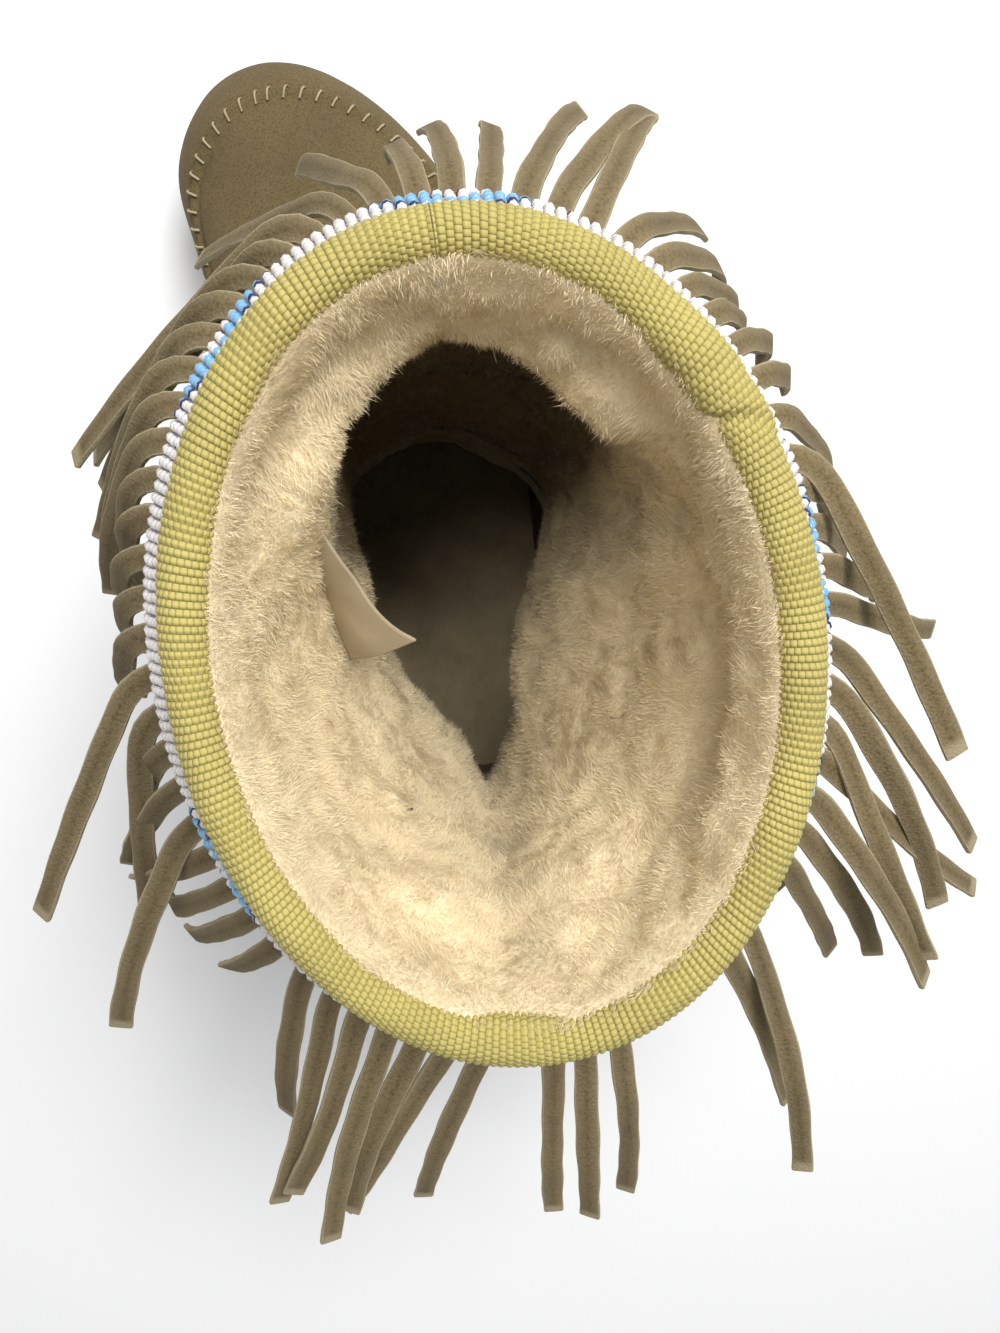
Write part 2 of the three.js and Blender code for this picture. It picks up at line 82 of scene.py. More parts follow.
# Reach, rise over the toe, rise at the sides
VAMP_ROWS = [
    (0, 0, 0), (-0.012, 0.1, 0.09), (0, 0.2, 0.18), (0.045, 0.29, 0.25), (0.1, 0.345, 0.295),
    (0.125, 0.36, 0.31), (0.15, 0.375, 0.325), (0.28, 0.43, 0.4), (0.45, 0.505, 0.5),
    (0.62, 0.6, 0.6), (0.78, 0.72, 0.73), (0.91, 0.86, 0.86),
]
SEAM_ROW = 5
# Share up the shaft, share grown from the ankle's oval to the collar's
SHAFT_ROWS = [(0, 0), (0.18, 0.11), (0.42, 0.38), (0.7, 0.73), (1, 1)]
# Depth below the binding in heights of the band, share of the flare
EDGE_ROWS = [(0, 0), (0.14, 0.36), (0.3, 0.72), (0.5, 0.9), (0.85, 1), (1.28, 1.02)]
# Out in widths of the binding, down in its drop
BINDING_ROWS = [(0, 1), (0.02, 0.55), (-0.12, 0.2), (-0.4, 0), (-0.68, 0.06), (-0.94, 0.42), (-1, 1.4)]
# Turn from the toe towards the wearer's left, splay at the tips, sideways swing
FRINGE_ROWS = [
    (0, 22, 10), (5.5, 24, 30), (10.9, 30, 64), (16.4, 58, 95), (21.8, 42, 88), (32.7, 40, 79),
    (43.6, 37, 72), (54.5, 36, 69), (60, 24, 62), (70.9, 16, 50), (81.8, 24, 44), (87.3, 64, 51),
    (92.7, 51, 65), (98.2, 26, 36), (103.6, 36, 29), (109.1, 60, 38), (114.5, 32, 10), (130.9, 32, 10),
    (136.4, 55, 26), (147.3, 67, 18), (158.2, 65, -4), (169.1, 57, -12), (174.5, 20, -6), (180, 64, -6),
    (190.9, 62, -13), (196.4, 22, 4), (207.3, 24, -10), (212.7, 62, -20), (218.2, 75, -33),
    (223.6, 26, -10), (229.1, 47, -26), (234.5, 57, -29), (240, 68, -36), (245.5, 62, -34),
    (250.9, 71, -55), (261.8, 68, -51), (267.3, 39, -25), (272.7, 30, -30), (283.6, 24, -30),
    (289.1, 79, -78), (294.5, 30, -40), (300, 20, -20), (321.8, 22, -34), (327.3, 27, -29),
    (332.7, 38, -4), (338.2, 34, -14), (349.1, 26, -4), (360, 22, 10),
]

# Folds of the lining that lie in shade: middle, radius and how dark
SHADE_ROWS = [
    (-57, -59, 190, 15, 0.32), (-46, -66, 172, 17, 0.45), (2, 3, 195, 8, 0.35), (3, 11, 212, 8, 0.30),
    (4, 16, 228, 7, 0.25), (28, -70, 200, 8, 0.25), (-30, -50, 150, 16, 0.20),
]

# Soft creases of the suede: from, to, width, depth
CREASE_ROWS = [
    ((-30, -128, 62), (34, -126, 58), 5.0, 1.3), ((-26, -112, 78), (30, -110, 74), 5.5, 1.2),
    ((-40, -84, 104), (36, -88, 98), 7.0, 2.0), ((44, -60, 92), (40, -16, 118), 7.0, 1.8),
    ((-46, -56, 96), (-42, -10, 122), 7.0, 2.0), ((-30, 22, 128), (30, 24, 118), 8.0, 1.8),
    ((-34, -92, 150), (26, -96, 138), 9.0, 1.5), ((-48, -50, 160), (-36, 10, 150), 9.0, 1.6),
    ((46, -40, 148), (34, 14, 168), 9.0, 1.5), ((-36, -150, 44), (-30, -120, 58), 5.0, 1.0),
    ((50, -150, 40), (40, -118, 56), 5.0, 1.0), ((-38, -92, 118), (30, -98, 112), 4.5, 2.5),
    ((-34, -98, 134), (34, -92, 128), 5.0, 2.2), ((-28, 24, 150), (26, 25, 141), 5.5, 2.2),
    ((-26, 28, 104), (24, 29, 97), 5.0, 2.0), ((47, -54, 126), (46, -6, 104), 4.5, 2.4),
    ((-48, -50, 130), (-47, -4, 108), 4.5, 2.4), ((-34, -140, 54), (24, -146, 54), 4.0, 1.5),
    ((-50, -36, 78), (-46, 6, 92), 6.0, 1.8), ((50, -40, 74), (45, 6, 86), 6.0, 1.8),
]

# Painted shade for the unlit depth, and colours of the footbed, the specks, the loose thread and the floor
PAINTED_SHADE = (0.12, 0.08, 0.036, 1)
FOOTBED_COLOUR = (0.62, 0.50, 0.30, 1)
SPECK_COLOUR = (0.05, 0.04, 0.03, 1)
LOOSE_THREAD_COLOUR = (0.9, 0.87, 0.8, 1)
FLOOR_COLOUR = (0.98, 0.98, 0.98, 1)

# Roughness, lightest and darkest tone, large and small patches a metre, grains a metre with
# their strength and height, sheen, coat, specks a metre
FINISHES = {
    "suede": (1.0, 1.2, 0.78, 22, 160, 1400, 0.5, 0.0006, 0.15, 0, 1500),
    "fringe_suede": (1.0, 1.25, 0.72, 35, 240, 1500, 0.7, 0.0006, 0.15, 0, 1300),
    "thread": (0.8, 1.1, 0.8, 200, 900, 3000, 0.2, 0.0002, 0, 0, 0),
    "rubber": (0.6, 1.15, 0.8, 40, 300, 700, 0.15, 0.0004, 0, 0, 0),
    "footbed_wool": (1.0, 1.1, 0.7, 60, 400, 1500, 0.6, 0.0012, 0, 0, 0),
    "tape": (0.75, 1.12, 0.86, 60, 500, 0, 0, 0, 0.15, 0, 0),
    "bead": (0.22, 1.08, 0.9, 90, 900, 0, 0, 0, 0, 0.4, 0),
    "bead_backing": (0.9, 1.0, 0.8, 200, 900, 0, 0, 0, 0, 0, 0),
    "wool": (1.0, 1.05, 0.9, 55, 420, 1300, 0.5, 0.0009, 0.2, 0, 0),
    "foot_wool": (1.0, 1.1, 0.75, 60, 420, 1300, 0.6, 0.0012, 0, 0, 0),
    "wool_blades": (1.0, 1.06, 0.94, 70, 300, 0, 0, 0, 0.15, 0, 0),
    "cotton": (0.95, 1.06, 0.92, 90, 700, 2200, 0.4, 0.0003, 0, 0, 0),
    "thread_white": (0.9, 1.0, 0.9, 90, 700, 0, 0, 0, 0, 0, 0),
    "speck": (0.9, 1.0, 1.0, 90, 700, 0, 0, 0, 0, 0, 0),
    "floor": (0.9, 1.0, 1.0, 5, 20, 0, 0, 0, 0, 0, 0),
}
SHEEN_TONE, SPECK_TONE, SPECK_SHARE = 1.7, 0.42, 0.6

# Outline of the pile under the tape: how far out of the collar's oval, height
PILE_TOP_ROWS = [(-7.3, 248.2), (-8.9, 246.4), (-10.3, 242.6), (-11.6, 236.5)]
# How far the pile keeps inside the wall, and where its lowest ring lies
PILE_CLEAR, PILE_FOOT_INSET, PILE_FOOT = 2.5, 4, 110.0
# Radii of the pile's surface about the middle of the collar, by turn from the toe, at
# heights from just under the binding down to where it meets the foot
PILE_TURNS = [0, 12, 24, 34, 50, 65, 81, 100, 120, 137, 152, 164, 174, 184, 194, 204, 220,
              238, 260, 283, 298, 310, 321, 333, 346, 360]
PILE_LEVELS = [
    (225, [56.7, 53, 49.1, 43.8, 40.5, 41.5, 43, 43.5, 45, 48, 50, 52, 56.2, 54, 54.5, 54, 51,
           47.5, 44.5, 43.5, 47, 47, 44.3, 46.9, 53.8, 56.7]),
    (212, [59, 56, 52.5, 45, 38.5, 38.5, 40, 41, 42.5, 45.5, 47, 48, 52.5, 49.5, 49.5, 48.5, 45.5,
           42.5, 40, 40.5, 46, 49, 47.5, 50, 57.5, 59]),
    (195, [62, 60.5, 57.5, 48, 36.5, 34.5, 35.5, 36, 37.5, 40.5, 43, 44.5, 50, 47, 45.5, 43.5, 40,
           36, 33.5, 35, 42, 46, 50, 55, 60.5, 62]),
    (172, [61, 60, 58, 49, 36.5, 30, 28.5, 28, 29.5, 32.5, 37.5, 42.5, 48.5, 46.5, 39, 32, 25.5,
           22, 21, 23, 31, 38.5, 44.5, 53, 59.5, 61]),
    (150, [57, 57, 56.5, 51, 38.4, 31, 27.5, 26.3, 26.5, 26.9, 31, 36.3, 48.3, 37, 27.4, 19.4, 15,
           12.6, 13.3, 15.1, 20, 26.3, 39.5, 51, 56.5, 57]),
    (128, [50, 50.5, 51, 50, 43, 37, 33, 32, 32, 34, 40, 46, 53, 48, 41, 33, 28,
           24, 22, 23, 28, 34, 43, 48.5, 50, 50]),
]


def curve(at, values, x):
    """Monotone cubic through values at the rising numbers at: each span is a cubic whose end
    slopes are the harmonic mean of the chords beside it, or zero at a turn."""
    at, values, x = (np.asarray(v, float) for v in (at, values, x))
    span = np.diff(at)
    wide = (slice(None),) + (None,) * (values.ndim - 1)
    chord = np.diff(values, axis=0) / span[wide]
    slope = np.empty_like(values)
    slope[0], slope[-1] = chord[0], chord[-1]
    both = chord[:-1] * chord[1:]
    total = chord[:-1] + chord[1:]
    slope[1:-1] = np.where(both > 0, 2 * both / np.where(total == 0, 1, total), 0)
    i = np.clip(np.searchsorted(at, x, side="left") - 1, 0, len(span) - 1)
    extra = (Ellipsis,) + (None,) * (values.ndim - 1)
    h = span[i][extra]
    t = np.clip((x - at[i]) / span[i], 0, 1)[extra]
    return (values[i] * (2 * t**3 - 3 * t**2 + 1) + slope[i] * h * (t**3 - 2 * t**2 + t)
            + values[i + 1] * (3 * t**2 - 2 * t**3) + slope[i + 1] * h * (t**3 - t**2))


def rows_at(rows, x, column=1):
    return curve([row[0] for row in rows], [row[column] for row in rows], x)


def smoothstep(x, low, high):
    t = np.clip((x - low) / (high - low), 0, 1)
    return t * t * (3 - 2 * t)


def lerp(a, b, t):
    return a + (b - a) * t


def noise(points, size, seed):
    """Smooth value noise from -1 to 1: hashed values at the corners of cubes of the given size,
    eased between them with 3t^2 - 2t^3."""
    q = points / size + 0.37 * seed
    cell = np.floor(q).astype(np.int64)
    f = q - cell
    f = f * f * (3 - 2 * f)
    total = np.zeros(points.shape[:-1])
    for dx in (0, 1):
        for dy in (0, 1):
            for dz in (0, 1):
                h = ((cell[..., 0] + dx) * 73856093) ^ ((cell[..., 1] + dy) * 19349663)
                h = h ^ ((cell[..., 2] + dz) * 83492791) ^ (seed * 2971215073)
                h = ((h ^ (h >> 13)) * 1274126177) & 0xFFFFFFFF
                value = ((h >> 8) & 0xFFFF) / 32767.5 - 1
                weight = (f[..., 0] if dx else 1 - f[..., 0]) * (f[..., 1] if dy else 1 - f[..., 1])
                total += value * weight * (f[..., 2] if dz else 1 - f[..., 2])
    return total


def foot_point(angle, margin):
    """Foot outline at an angle from the toe tip: half-width shares times the sine, the foot's
    half-length times the cosine, both grown by the margin, and the toe swung inwards."""
    forward, sideways = np.cos(angle), np.sin(angle)
    from_toe = np.degrees(np.arccos(np.clip(forward, -1, 1)))
    share = np.where(sideways > 0, rows_at(INNER_ROWS, from_toe), rows_at(OUTER_ROWS, from_toe))
    half = BALL_WIDTH / 2 * share + margin
    x = half * sideways + TOE_SWING * np.maximum(0, forward) ** 2
    y = HEEL_BACK - FOOT_LENGTH / 2 - (FOOT_LENGTH / 2 + margin) * forward
    return np.stack([x, y], -1)


def sole_bottom(y):
    along = (HEEL_BACK - y) / FOOT_LENGTH
    arch, spring = curve(SOLE_ALONG, SOLE_ARCH, along), curve(SOLE_ALONG, SOLE_SPRING, along)
    return ARCH_RISE * arch + TOE_SPRING * spring


def sole_top(y):
    along = (HEEL_BACK - y) / FOOT_LENGTH
    return sole_bottom(y) + HEEL_HEIGHT * curve(SOLE_ALONG, SOLE_THICKNESS, along)


def twisted(side, forward, twist=math.radians(COLLAR_TURN)):
    """x and y of a point to the side and forward on axes turned by the twist. The way back is
    the same sum."""
    return np.stack([side * math.cos(twist) - forward * math.sin(twist),
                     -side * math.sin(twist) - forward * math.cos(twist)], -1)


def oval_point(turn, length, width, grown):
    """Point of an oval round the shaft, turned and set ahead by the share that it has grown."""
    ahead = lerp(ANKLE_AHEAD, COLLAR_AHEAD, grown)
    side, forward = width / 2 * np.sin(turn), length / 2 * np.cos(turn) + ahead
    return twisted(side, forward, math.radians(COLLAR_TURN) * grown)


BINDING_FOOT = COLLAR_HEIGHT - BINDING_DROP
SLOT_OUT = -(BINDING_OUTER_LEG + GAP)
EDGE_LOW = BINDING_FOOT - EDGE_ROWS[-1][0] * BAND_HEIGHT
COLLAR_MIDDLE = oval_point(0.0, 0, 0, 1)


def circle(count):
    """Angles at equal steps round a circle."""
    return np.arange(count) / count * 2 * np.pi


def shaft_turn(angle):
    """Turn on the shaft's oval for an angle on the foot, pulled towards the toe."""
    return angle - ANGLE_PULL * np.sin(angle)


def edge_out(z):
    """How far out of the collar's oval the wall lies: it flares going down from the binding."""
    return SLOT_OUT + FLARE * rows_at(EDGE_ROWS, (BINDING_FOOT - np.asarray(z, float)) / BAND_HEIGHT)


def collar_points(turn, out, z):
    """Points round the collar's oval, grown out by a distance, at a height."""
    flat = oval_grown(turn, out)
    height = np.broadcast_to(np.asarray(z, float), flat.shape[:-1])
    return np.concatenate([flat, height[..., None]], -1)


def oval_grown(turn, out):
    side = (COLLAR_WIDTH / 2 + out) * np.sin(turn)
    forward = (COLLAR_LENGTH / 2 + out) * np.cos(turn) + COLLAR_AHEAD
    return twisted(side, forward)


def edge_line(heights, away):
    """Out and z of points on the flared edge, moved off the wall along its normal."""
    heights = np.asarray(heights, float)
    lean = (edge_out(heights + GAP) - edge_out(heights - GAP)) / (2 * GAP)
    size = np.hypot(1, lean)
    return edge_out(heights) + away / size, heights - away * lean / size


def edge_sheet(heights, outer, inner, columns):
    """A band on the flared edge: rings down its outer face, then back up its inner one."""
    turn = even_turns(columns)
    rings = list(zip(*edge_line(heights, outer))) + list(zip(*edge_line(heights, inner)))[::-1]
    return np.array([collar_points(turn, out, z) for out, z in rings])


def even_turns(count):
    """Parameters of the collar's oval at equal steps of arc from the toe."""
    fine = np.linspace(0, 2 * np.pi, 2881)
    path = oval_grown(fine, 0.0)
    arc = np.r_[0, np.cumsum(np.hypot(*np.diff(path, axis=0).T))]
    return np.interp(np.arange(count) / count * arc[-1], arc, fine)


def unit(v):
    return v / np.maximum(np.linalg.norm(v, axis=-1, keepdims=True), 1e-9)


def grid_normals(p):
    """Outward normals of a grid of rows going up and columns going round."""
    return unit(np.cross(np.roll(p, -1, 1) - np.roll(p, 1, 1), np.gradient(p, axis=0)))


def grid_faces(rows, cols, round_rows=False, round_cols=True):
    i, j = np.meshgrid(np.arange(rows if round_rows else rows - 1),
                       np.arange(cols if round_cols else cols - 1), indexing="ij")
    k, m = (i + 1) % rows, (j + 1) % cols
    return np.stack([i * cols + j, i * cols + m, k * cols + m, k * cols + j], -1).reshape(-1, 4)


def loft_faces(rows, cols):
    """Faces of a loft of rings with a flat cap at both ends."""
    ring = np.arange(cols)
    return [grid_faces(rows, cols)[:, ::-1], ring[None], (ring + (rows - 1) * cols)[::-1][None]]


def upper_rings(angle):
    """Rings of the upper's outer face from the sole's edge to the collar, as in the part's
    source: foot outline moved towards the ankle's oval, then ovals up the shaft and edge."""
    foot = foot_point(angle, 0)
    ankle = oval_point(shaft_turn(angle), ANKLE_LENGTH, ANKLE_WIDTH, 0)
    front = np.maximum(0, np.cos(angle)) ** 2
    low = sole_top(foot[:, 1]) + GAP
    rings = []
    for reach, toe, side in VAMP_ROWS:
        z = lerp(low, ANKLE_HEIGHT, lerp(side, toe, front))
        rings.append(np.c_[lerp(foot, ankle, reach), z])
    tuck = float(edge_out(EDGE_LOW)) - SHAFT_TUCK
    for up, grow in SHAFT_ROWS:
        length = lerp(ANKLE_LENGTH, COLLAR_LENGTH + 2 * tuck, grow)
        width = lerp(ANKLE_WIDTH, COLLAR_WIDTH + 2 * tuck, grow)
        flat = oval_point(shaft_turn(angle), length, width, grow)
        z = lerp(ANKLE_HEIGHT, EDGE_LOW - SHAFT_TUCK_DROP, up)
        rings.append(np.c_[flat, np.full(len(angle), z)])
    for depth, _ in reversed(EDGE_ROWS):
        z = BINDING_FOOT - depth * BAND_HEIGHT
        rings.append(collar_points(shaft_turn(angle), float(edge_out(z)), z))
    rings.append(collar_points(shaft_turn(angle), SLOT_OUT, COLLAR_HEIGHT - BINDING_ROOF - GAP))
    return np.array(rings)


def row_parameter(rings):
    return np.r_[0, np.cumsum(np.linalg.norm(np.diff(rings, axis=0), axis=-1).mean(1))]


def build(name, points, faces, finish, uv=None, values=None, sharp=None, replaces=(), stage=False):
    """A mesh object from points in millimetres, its faces, material and slot. It may have its
    own UV and point values, and sharp edges past an angle in degrees."""
    mesh = bpy.data.meshes.new(name)
    points = np.asarray(points, float).reshape(-1, 3) * MM
    faces = faces if isinstance(faces, list) else [faces]
    mesh.from_pydata(points.tolist(), [], [f for part in faces for f in part.tolist()])
    mesh.polygons.foreach_set("use_smooth", np.full(len(mesh.polygons), True))
    if uv is not None:
        corner = np.empty(len(mesh.loops), dtype=np.int32)
        mesh.loops.foreach_get("vertex_index", corner)
        layer = mesh.uv_layers.new(name="own")
        layer.data.foreach_set("uv", np.asarray(uv, np.float32).reshape(-1, 2)[corner].ravel())
    for key, value in (values or {}).items():
        layer = mesh.attributes.new(key, "FLOAT", "POINT")
        layer.data.foreach_set("value", np.asarray(value, np.float32).ravel())
    mesh.update()
    if sharp:
        mesh.set_sharp_from_angle(angle=math.radians(sharp))
    piece = bpy.data.objects.new(name, mesh)
    bpy.context.scene.collection.objects.link(piece)
    mesh.materials.append(finish)
    if stage:
        return piece
    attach(piece, "root")
    if replaces:
        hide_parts(*replaces)
    return piece


def tone(colour, factor):
    return tuple(min(1.0, c * factor) for c in colour[:3]) + (1.0,)


def material(name, colour, kind=None, key=None, key_colour=None):
    """Principled material: two noises in Object coordinates mix a darker and a lighter tone, a
    third darkens specks, a fourth is the grain's bump, and a point value may mix in a colour."""
    (roughness, light, dark, large, small, grains, strength, height, sheen, coat,
     specks) = FINISHES[kind or name]
    finish = bpy.data.materials.new(name)
    finish.use_nodes = True
    nodes, links = finish.node_tree.nodes, finish.node_tree.links
    shader = nodes["Principled BSDF"]
    shader.inputs["Roughness"].default_value = roughness
    shader.inputs["Sheen Weight"].default_value = sheen
    shader.inputs["Sheen Tint"].default_value = tone(colour, SHEEN_TONE)
    shader.inputs["Coat Weight"].default_value = coat
    place = nodes.new("ShaderNodeTexCoord").outputs["Object"]

    def grain(scale, detail=3):
        node = nodes.new("ShaderNodeTexNoise")
        node.inputs["Scale"].default_value = scale
        node.inputs["Detail"].default_value = detail
        links.new(place, node.inputs["Vector"])
        return node.outputs["Fac"]

    def mix(factor, a, b):
        node = nodes.new("ShaderNodeMix")
        node.data_type = "RGBA"
        for value, socket in ((factor, node.inputs["Factor"]), (a, node.inputs[6]), (b, node.inputs[7])):
            if isinstance(value, (tuple, float)):
                socket.default_value = value
            else:
                links.new(value, socket)
        return node.outputs[2]

    def stretch(value, low, high):
        node = nodes.new("ShaderNodeMapRange")
        node.inputs["From Min"].default_value, node.inputs["From Max"].default_value = low, high
        links.new(value, node.inputs["Value"])
        return node.outputs["Result"]

    base = mix(stretch(grain(large), 0.3, 0.7), tone(colour, dark), tone(colour, light))
    base = mix(stretch(grain(small, 5), 0.25, 0.75), base, mix(0.5, base, tone(colour, light)))
    if specks:
        darker = mix(SPECK_SHARE, base, tone(colour, SPECK_TONE))
        base = mix(stretch(grain(specks, 2), 0.46, 0.64), base, darker)
    if key:
        value = nodes.new("ShaderNodeAttribute")
        value.attribute_name = key
        base = mix(value.outputs["Fac"], base, tuple(key_colour))
    links.new(base, shader.inputs["Base Color"])
    if strength:
        node = nodes.new("ShaderNodeBump")
        node.inputs["Strength"].default_value, node.inputs["Distance"].default_value = strength, height
        links.new(grain(grains, 6), node.inputs["Height"])
        links.new(node.outputs["Normal"], shader.inputs["Normal"])
    return finish


class BootSizes(bpy.types.PropertyGroup):
    rib_count: bpy.props.IntProperty(
        name="Ribs", description="Ribs of the tape round the collar", default=282, min=60)
    rib_height: bpy.props.FloatProperty(
        name="Rib height", description="Height of a rib over its groove", default=0.00034, unit="LENGTH")
    bead_columns: bpy.props.IntProperty(
        name="Bead columns", description="Columns of beads, nine repeats of 23", default=207, min=23)
    bead_rows: bpy.props.IntProperty(name="Bead rows", description="Rows of beads", default=16, min=4)
    pile_count: bpy.props.IntProperty(
        name="Wool tufts", description="Blades of wool in each pile piece", default=74000)
    pile_length: bpy.props.FloatProperty(
        name="Wool length", description="Mean length of a blade of wool", default=0.0021, unit="LENGTH")
    stitch_pitch: bpy.props.FloatProperty(
        name="Stitch pitch", description="Step of the moccasin seam's stitches", default=0.0055,
        unit="LENGTH")


def colour_property(name, description, default):
    return bpy.props.FloatVectorProperty(name=name, description=description, default=default, size=4,
                                         subtype="COLOR", min=0, max=1)


class BootColours(bpy.types.PropertyGroup):
    suede: colour_property("Suede", "Colour of the upper and the fringe", (0.155, 0.112, 0.048, 1))
    cut: colour_property("Cut edge", "Colour of the fringe's cut edges", (0.46, 0.385, 0.24, 1))
    wool: colour_property("Wool", "Colour of the shearling", (0.80, 0.675, 0.445, 1))
    tape: colour_property("Tape", "Colour of the binding", (0.45, 0.378, 0.115, 1))
    white: colour_property("White", "Colour of the ground beads", (0.72, 0.68, 0.66, 1))
    blue: colour_property("Light blue", "Colour of the light motif beads", (0.17, 0.43, 0.72, 1))
    red: colour_property("Dark red", "Colour of the dark motif beads", (0.19, 0.012, 0.02, 1))
    navy: colour_property("Navy", "Colour of the outline beads", (0.02, 0.035, 0.11, 1))
    rubber: colour_property("Rubber", "Colour of the outsole", (0.16, 0.10, 0.055, 1))
    # The tab's colour is the cotton's own, darkened with painted shade because the tab lies in shade inside
    # the shaft
    cotton: colour_property("Cotton", "Colour of the bare tab", (0.46, 0.385, 0.26, 1))


def creased(points, normals):
    """Points with the suede's creases: each is a segment on the boot with a trough of one width
    and a ridge beside it, a difference of two Gaussians of the distance from the segment."""
    height = np.zeros(points.shape[:-1])
    for start, end, width, depth in CREASE_ROWS:
        a, b = np.array(start, float), np.array(end, float)
        along = np.clip(((points - a) @ (b - a)) / ((b - a) @ (b - a)), -0.2, 1.2)
        away = np.linalg.norm(points - a - along[..., None] * (b - a), axis=-1)
        away = np.maximum(0, away + 1.2 * noise(points, 14.0, 5))
        ends = smoothstep(along, -0.2, 0.25) * (1 - smoothstep(along, 0.75, 1.2))
        ridge, trough = np.exp(-(away / (1.9 * width)) ** 2), np.exp(-(away / width) ** 2)
        height += ends * depth * (0.8 * ridge - 1.5 * trough)
    return points + normals * height[..., None]


class BOOT_OT_upper(bpy.types.Operator):
    """Smooth suede upper with its moccasin seam, stitches and creases"""
    bl_idname = "boot.upper"
    bl_label = "Suede upper"

    columns, rows, seam_rows, inside_rows = 264, 132, 20, 14
    seam_reach, seam_fade = 7, (107, 84)
    ridge_height, ridge_width = 1.5, 1.5
    pucker_depth, pucker_width = 0.6, 5.0
    channel_depth, channel_away, channel_width = 0.5, 3.0, 1.3
    stitch_span, stitch_rise, stitch_sink, stitch_slant, stitch_radius = 4.6, 1.9, 0.15, 1.6, 0.42

    def execute(self, context):
        colours = context.scene.boot_colours
        suede = material("suede", colours.suede)
        angle = circle(self.columns)
        rings = upper_rings(angle)
        rows = row_parameter(rings)
        at_seam = rows[SEAM_ROW]
        fine = np.linspace(0, rows[-1], self.rows)
        fine = np.sort(np.r_[fine, np.linspace(at_seam - self.seam_reach, at_seam + self.seam_reach,
                                               self.seam_rows)])
        skin = curve(rows, rings, fine)
        creasing = smoothstep(skin[..., 2], 25, 40) * (1 - smoothstep(skin[..., 2], 185, 205))
        skin = creased(skin, grid_normals(skin) * creasing[..., None])
        step = np.linalg.norm(np.gradient(skin, axis=0), axis=-1) / np.gradient(fine)[:, None]
        across = (fine - at_seam)[:, None] * step
        seam = curve(rows, rings, [at_seam])[0]
        arc = np.r_[0, np.cumsum(np.linalg.norm(np.diff(seam, axis=0), axis=-1))]
        ahead = smoothstep(np.cos(angle), *(math.cos(math.radians(turn)) for turn in self.seam_fade))
        pitch = context.scene.boot_sizes.stitch_pitch / MM
        height = ahead * self.seam(across, 0.5 + 0.5 * np.cos(2 * np.pi * arc / pitch))
        soft = 0.35 * noise(skin, 26.0, 3) + 0.12 * noise(skin, 7.0, 4)
        skin = skin + grid_normals(skin) * (height + soft * smoothstep(skin[..., 2], 22, 34))[..., None]
        inside = curve(rows, rings, np.linspace(0, rows[-1], self.inside_rows))
        flat = grid_normals(inside)
        flat[0, :, 2] = flat[-1, :, 2] = 0
        inside = inside - unit(flat) * WALL
        points = np.concatenate([skin, inside[::-1]])
        build("suede_upper", points, grid_faces(len(points), self.columns, round_rows=True), suede,
              replaces=("upper",))
        beside = grid_normals(curve(rows, rings, at_seam + np.array([-0.5, 0, 0.5])))[1]
        self.stitches(colours, seam, arc, ahead, beside, pitch)
        return {"FINISHED"}

    def seam(self, across, pucker):
        """Height over the seam: a ridge, a channel on both sides, and puckers above it."""
        above = np.exp(-(np.maximum(across, 0) / self.pucker_width) ** 2)
        beside = np.exp(-((np.abs(across) - self.channel_away) / self.channel_width) ** 2)
        return (self.ridge_height * np.exp(-(across / self.ridge_width) ** 2)
                - self.pucker_depth * pucker * above * (across > 0) - self.channel_depth * beside)

    def stitches(self, colours, seam, arc, ahead, normal, pitch):
        """Whip stitches over the seam's ridge: short arches of thread across it."""
        centre = np.arange(pitch / 2, arc[-1], pitch)
        centre = centre[np.interp(centre, arc, ahead) > 0.6]

        def along_seam(values):
            return np.stack([np.interp(centre, arc, values[:, k]) for k in range(3)], -1)

        at, up = along_seam(seam), unit(along_seam(normal))
        along = unit(along_seam(unit(np.gradient(seam, axis=0))))
        side = np.cross(up, along)
        t = np.linspace(0, 1, 7)
        bow = np.stack([(t - 0.5) * self.stitch_span,
                        self.stitch_rise * np.sin(np.pi * t) + self.stitch_sink,
                        (t - 0.5) * self.stitch_slant], -1)
        path = (at[:, None] + side[:, None] * bow[None, :, :1] + up[:, None] * bow[None, :, 1:2]
                + along[:, None] * bow[None, :, 2:])
        points, faces = tubes(path, np.full(path.shape[:2], self.stitch_radius), 5)
        build("seam_stitches", points, faces, material("thread", colours.cut))


def tubes(paths, radius, sides):
    """Tubes round many paths at once: rings of a few points square to each path's direction."""
    count, steps = paths.shape[:2]
    ahead = unit(np.gradient(paths, axis=1))
    guide = np.where(np.abs(ahead[..., 2:]) > 0.9, [1.0, 0, 0], [0, 0, 1.0])
    first = unit(np.cross(ahead, guide))
    second = np.cross(ahead, first)
    t = circle(sides)[None, None, :, None]
    ring = first[:, :, None] * np.cos(t) + second[:, :, None] * np.sin(t)
    points = paths[:, :, None] + ring * radius[:, :, None, None]
    return points.reshape(-1, 3), repeated(grid_faces(steps, sides), count, steps * sides)


def repeated(faces, count, size):
    """The faces of one item, again for each of a count of items of a size in points."""
    return (faces[None] + (np.arange(count) * size)[:, None, None]).reshape(-1, 4)


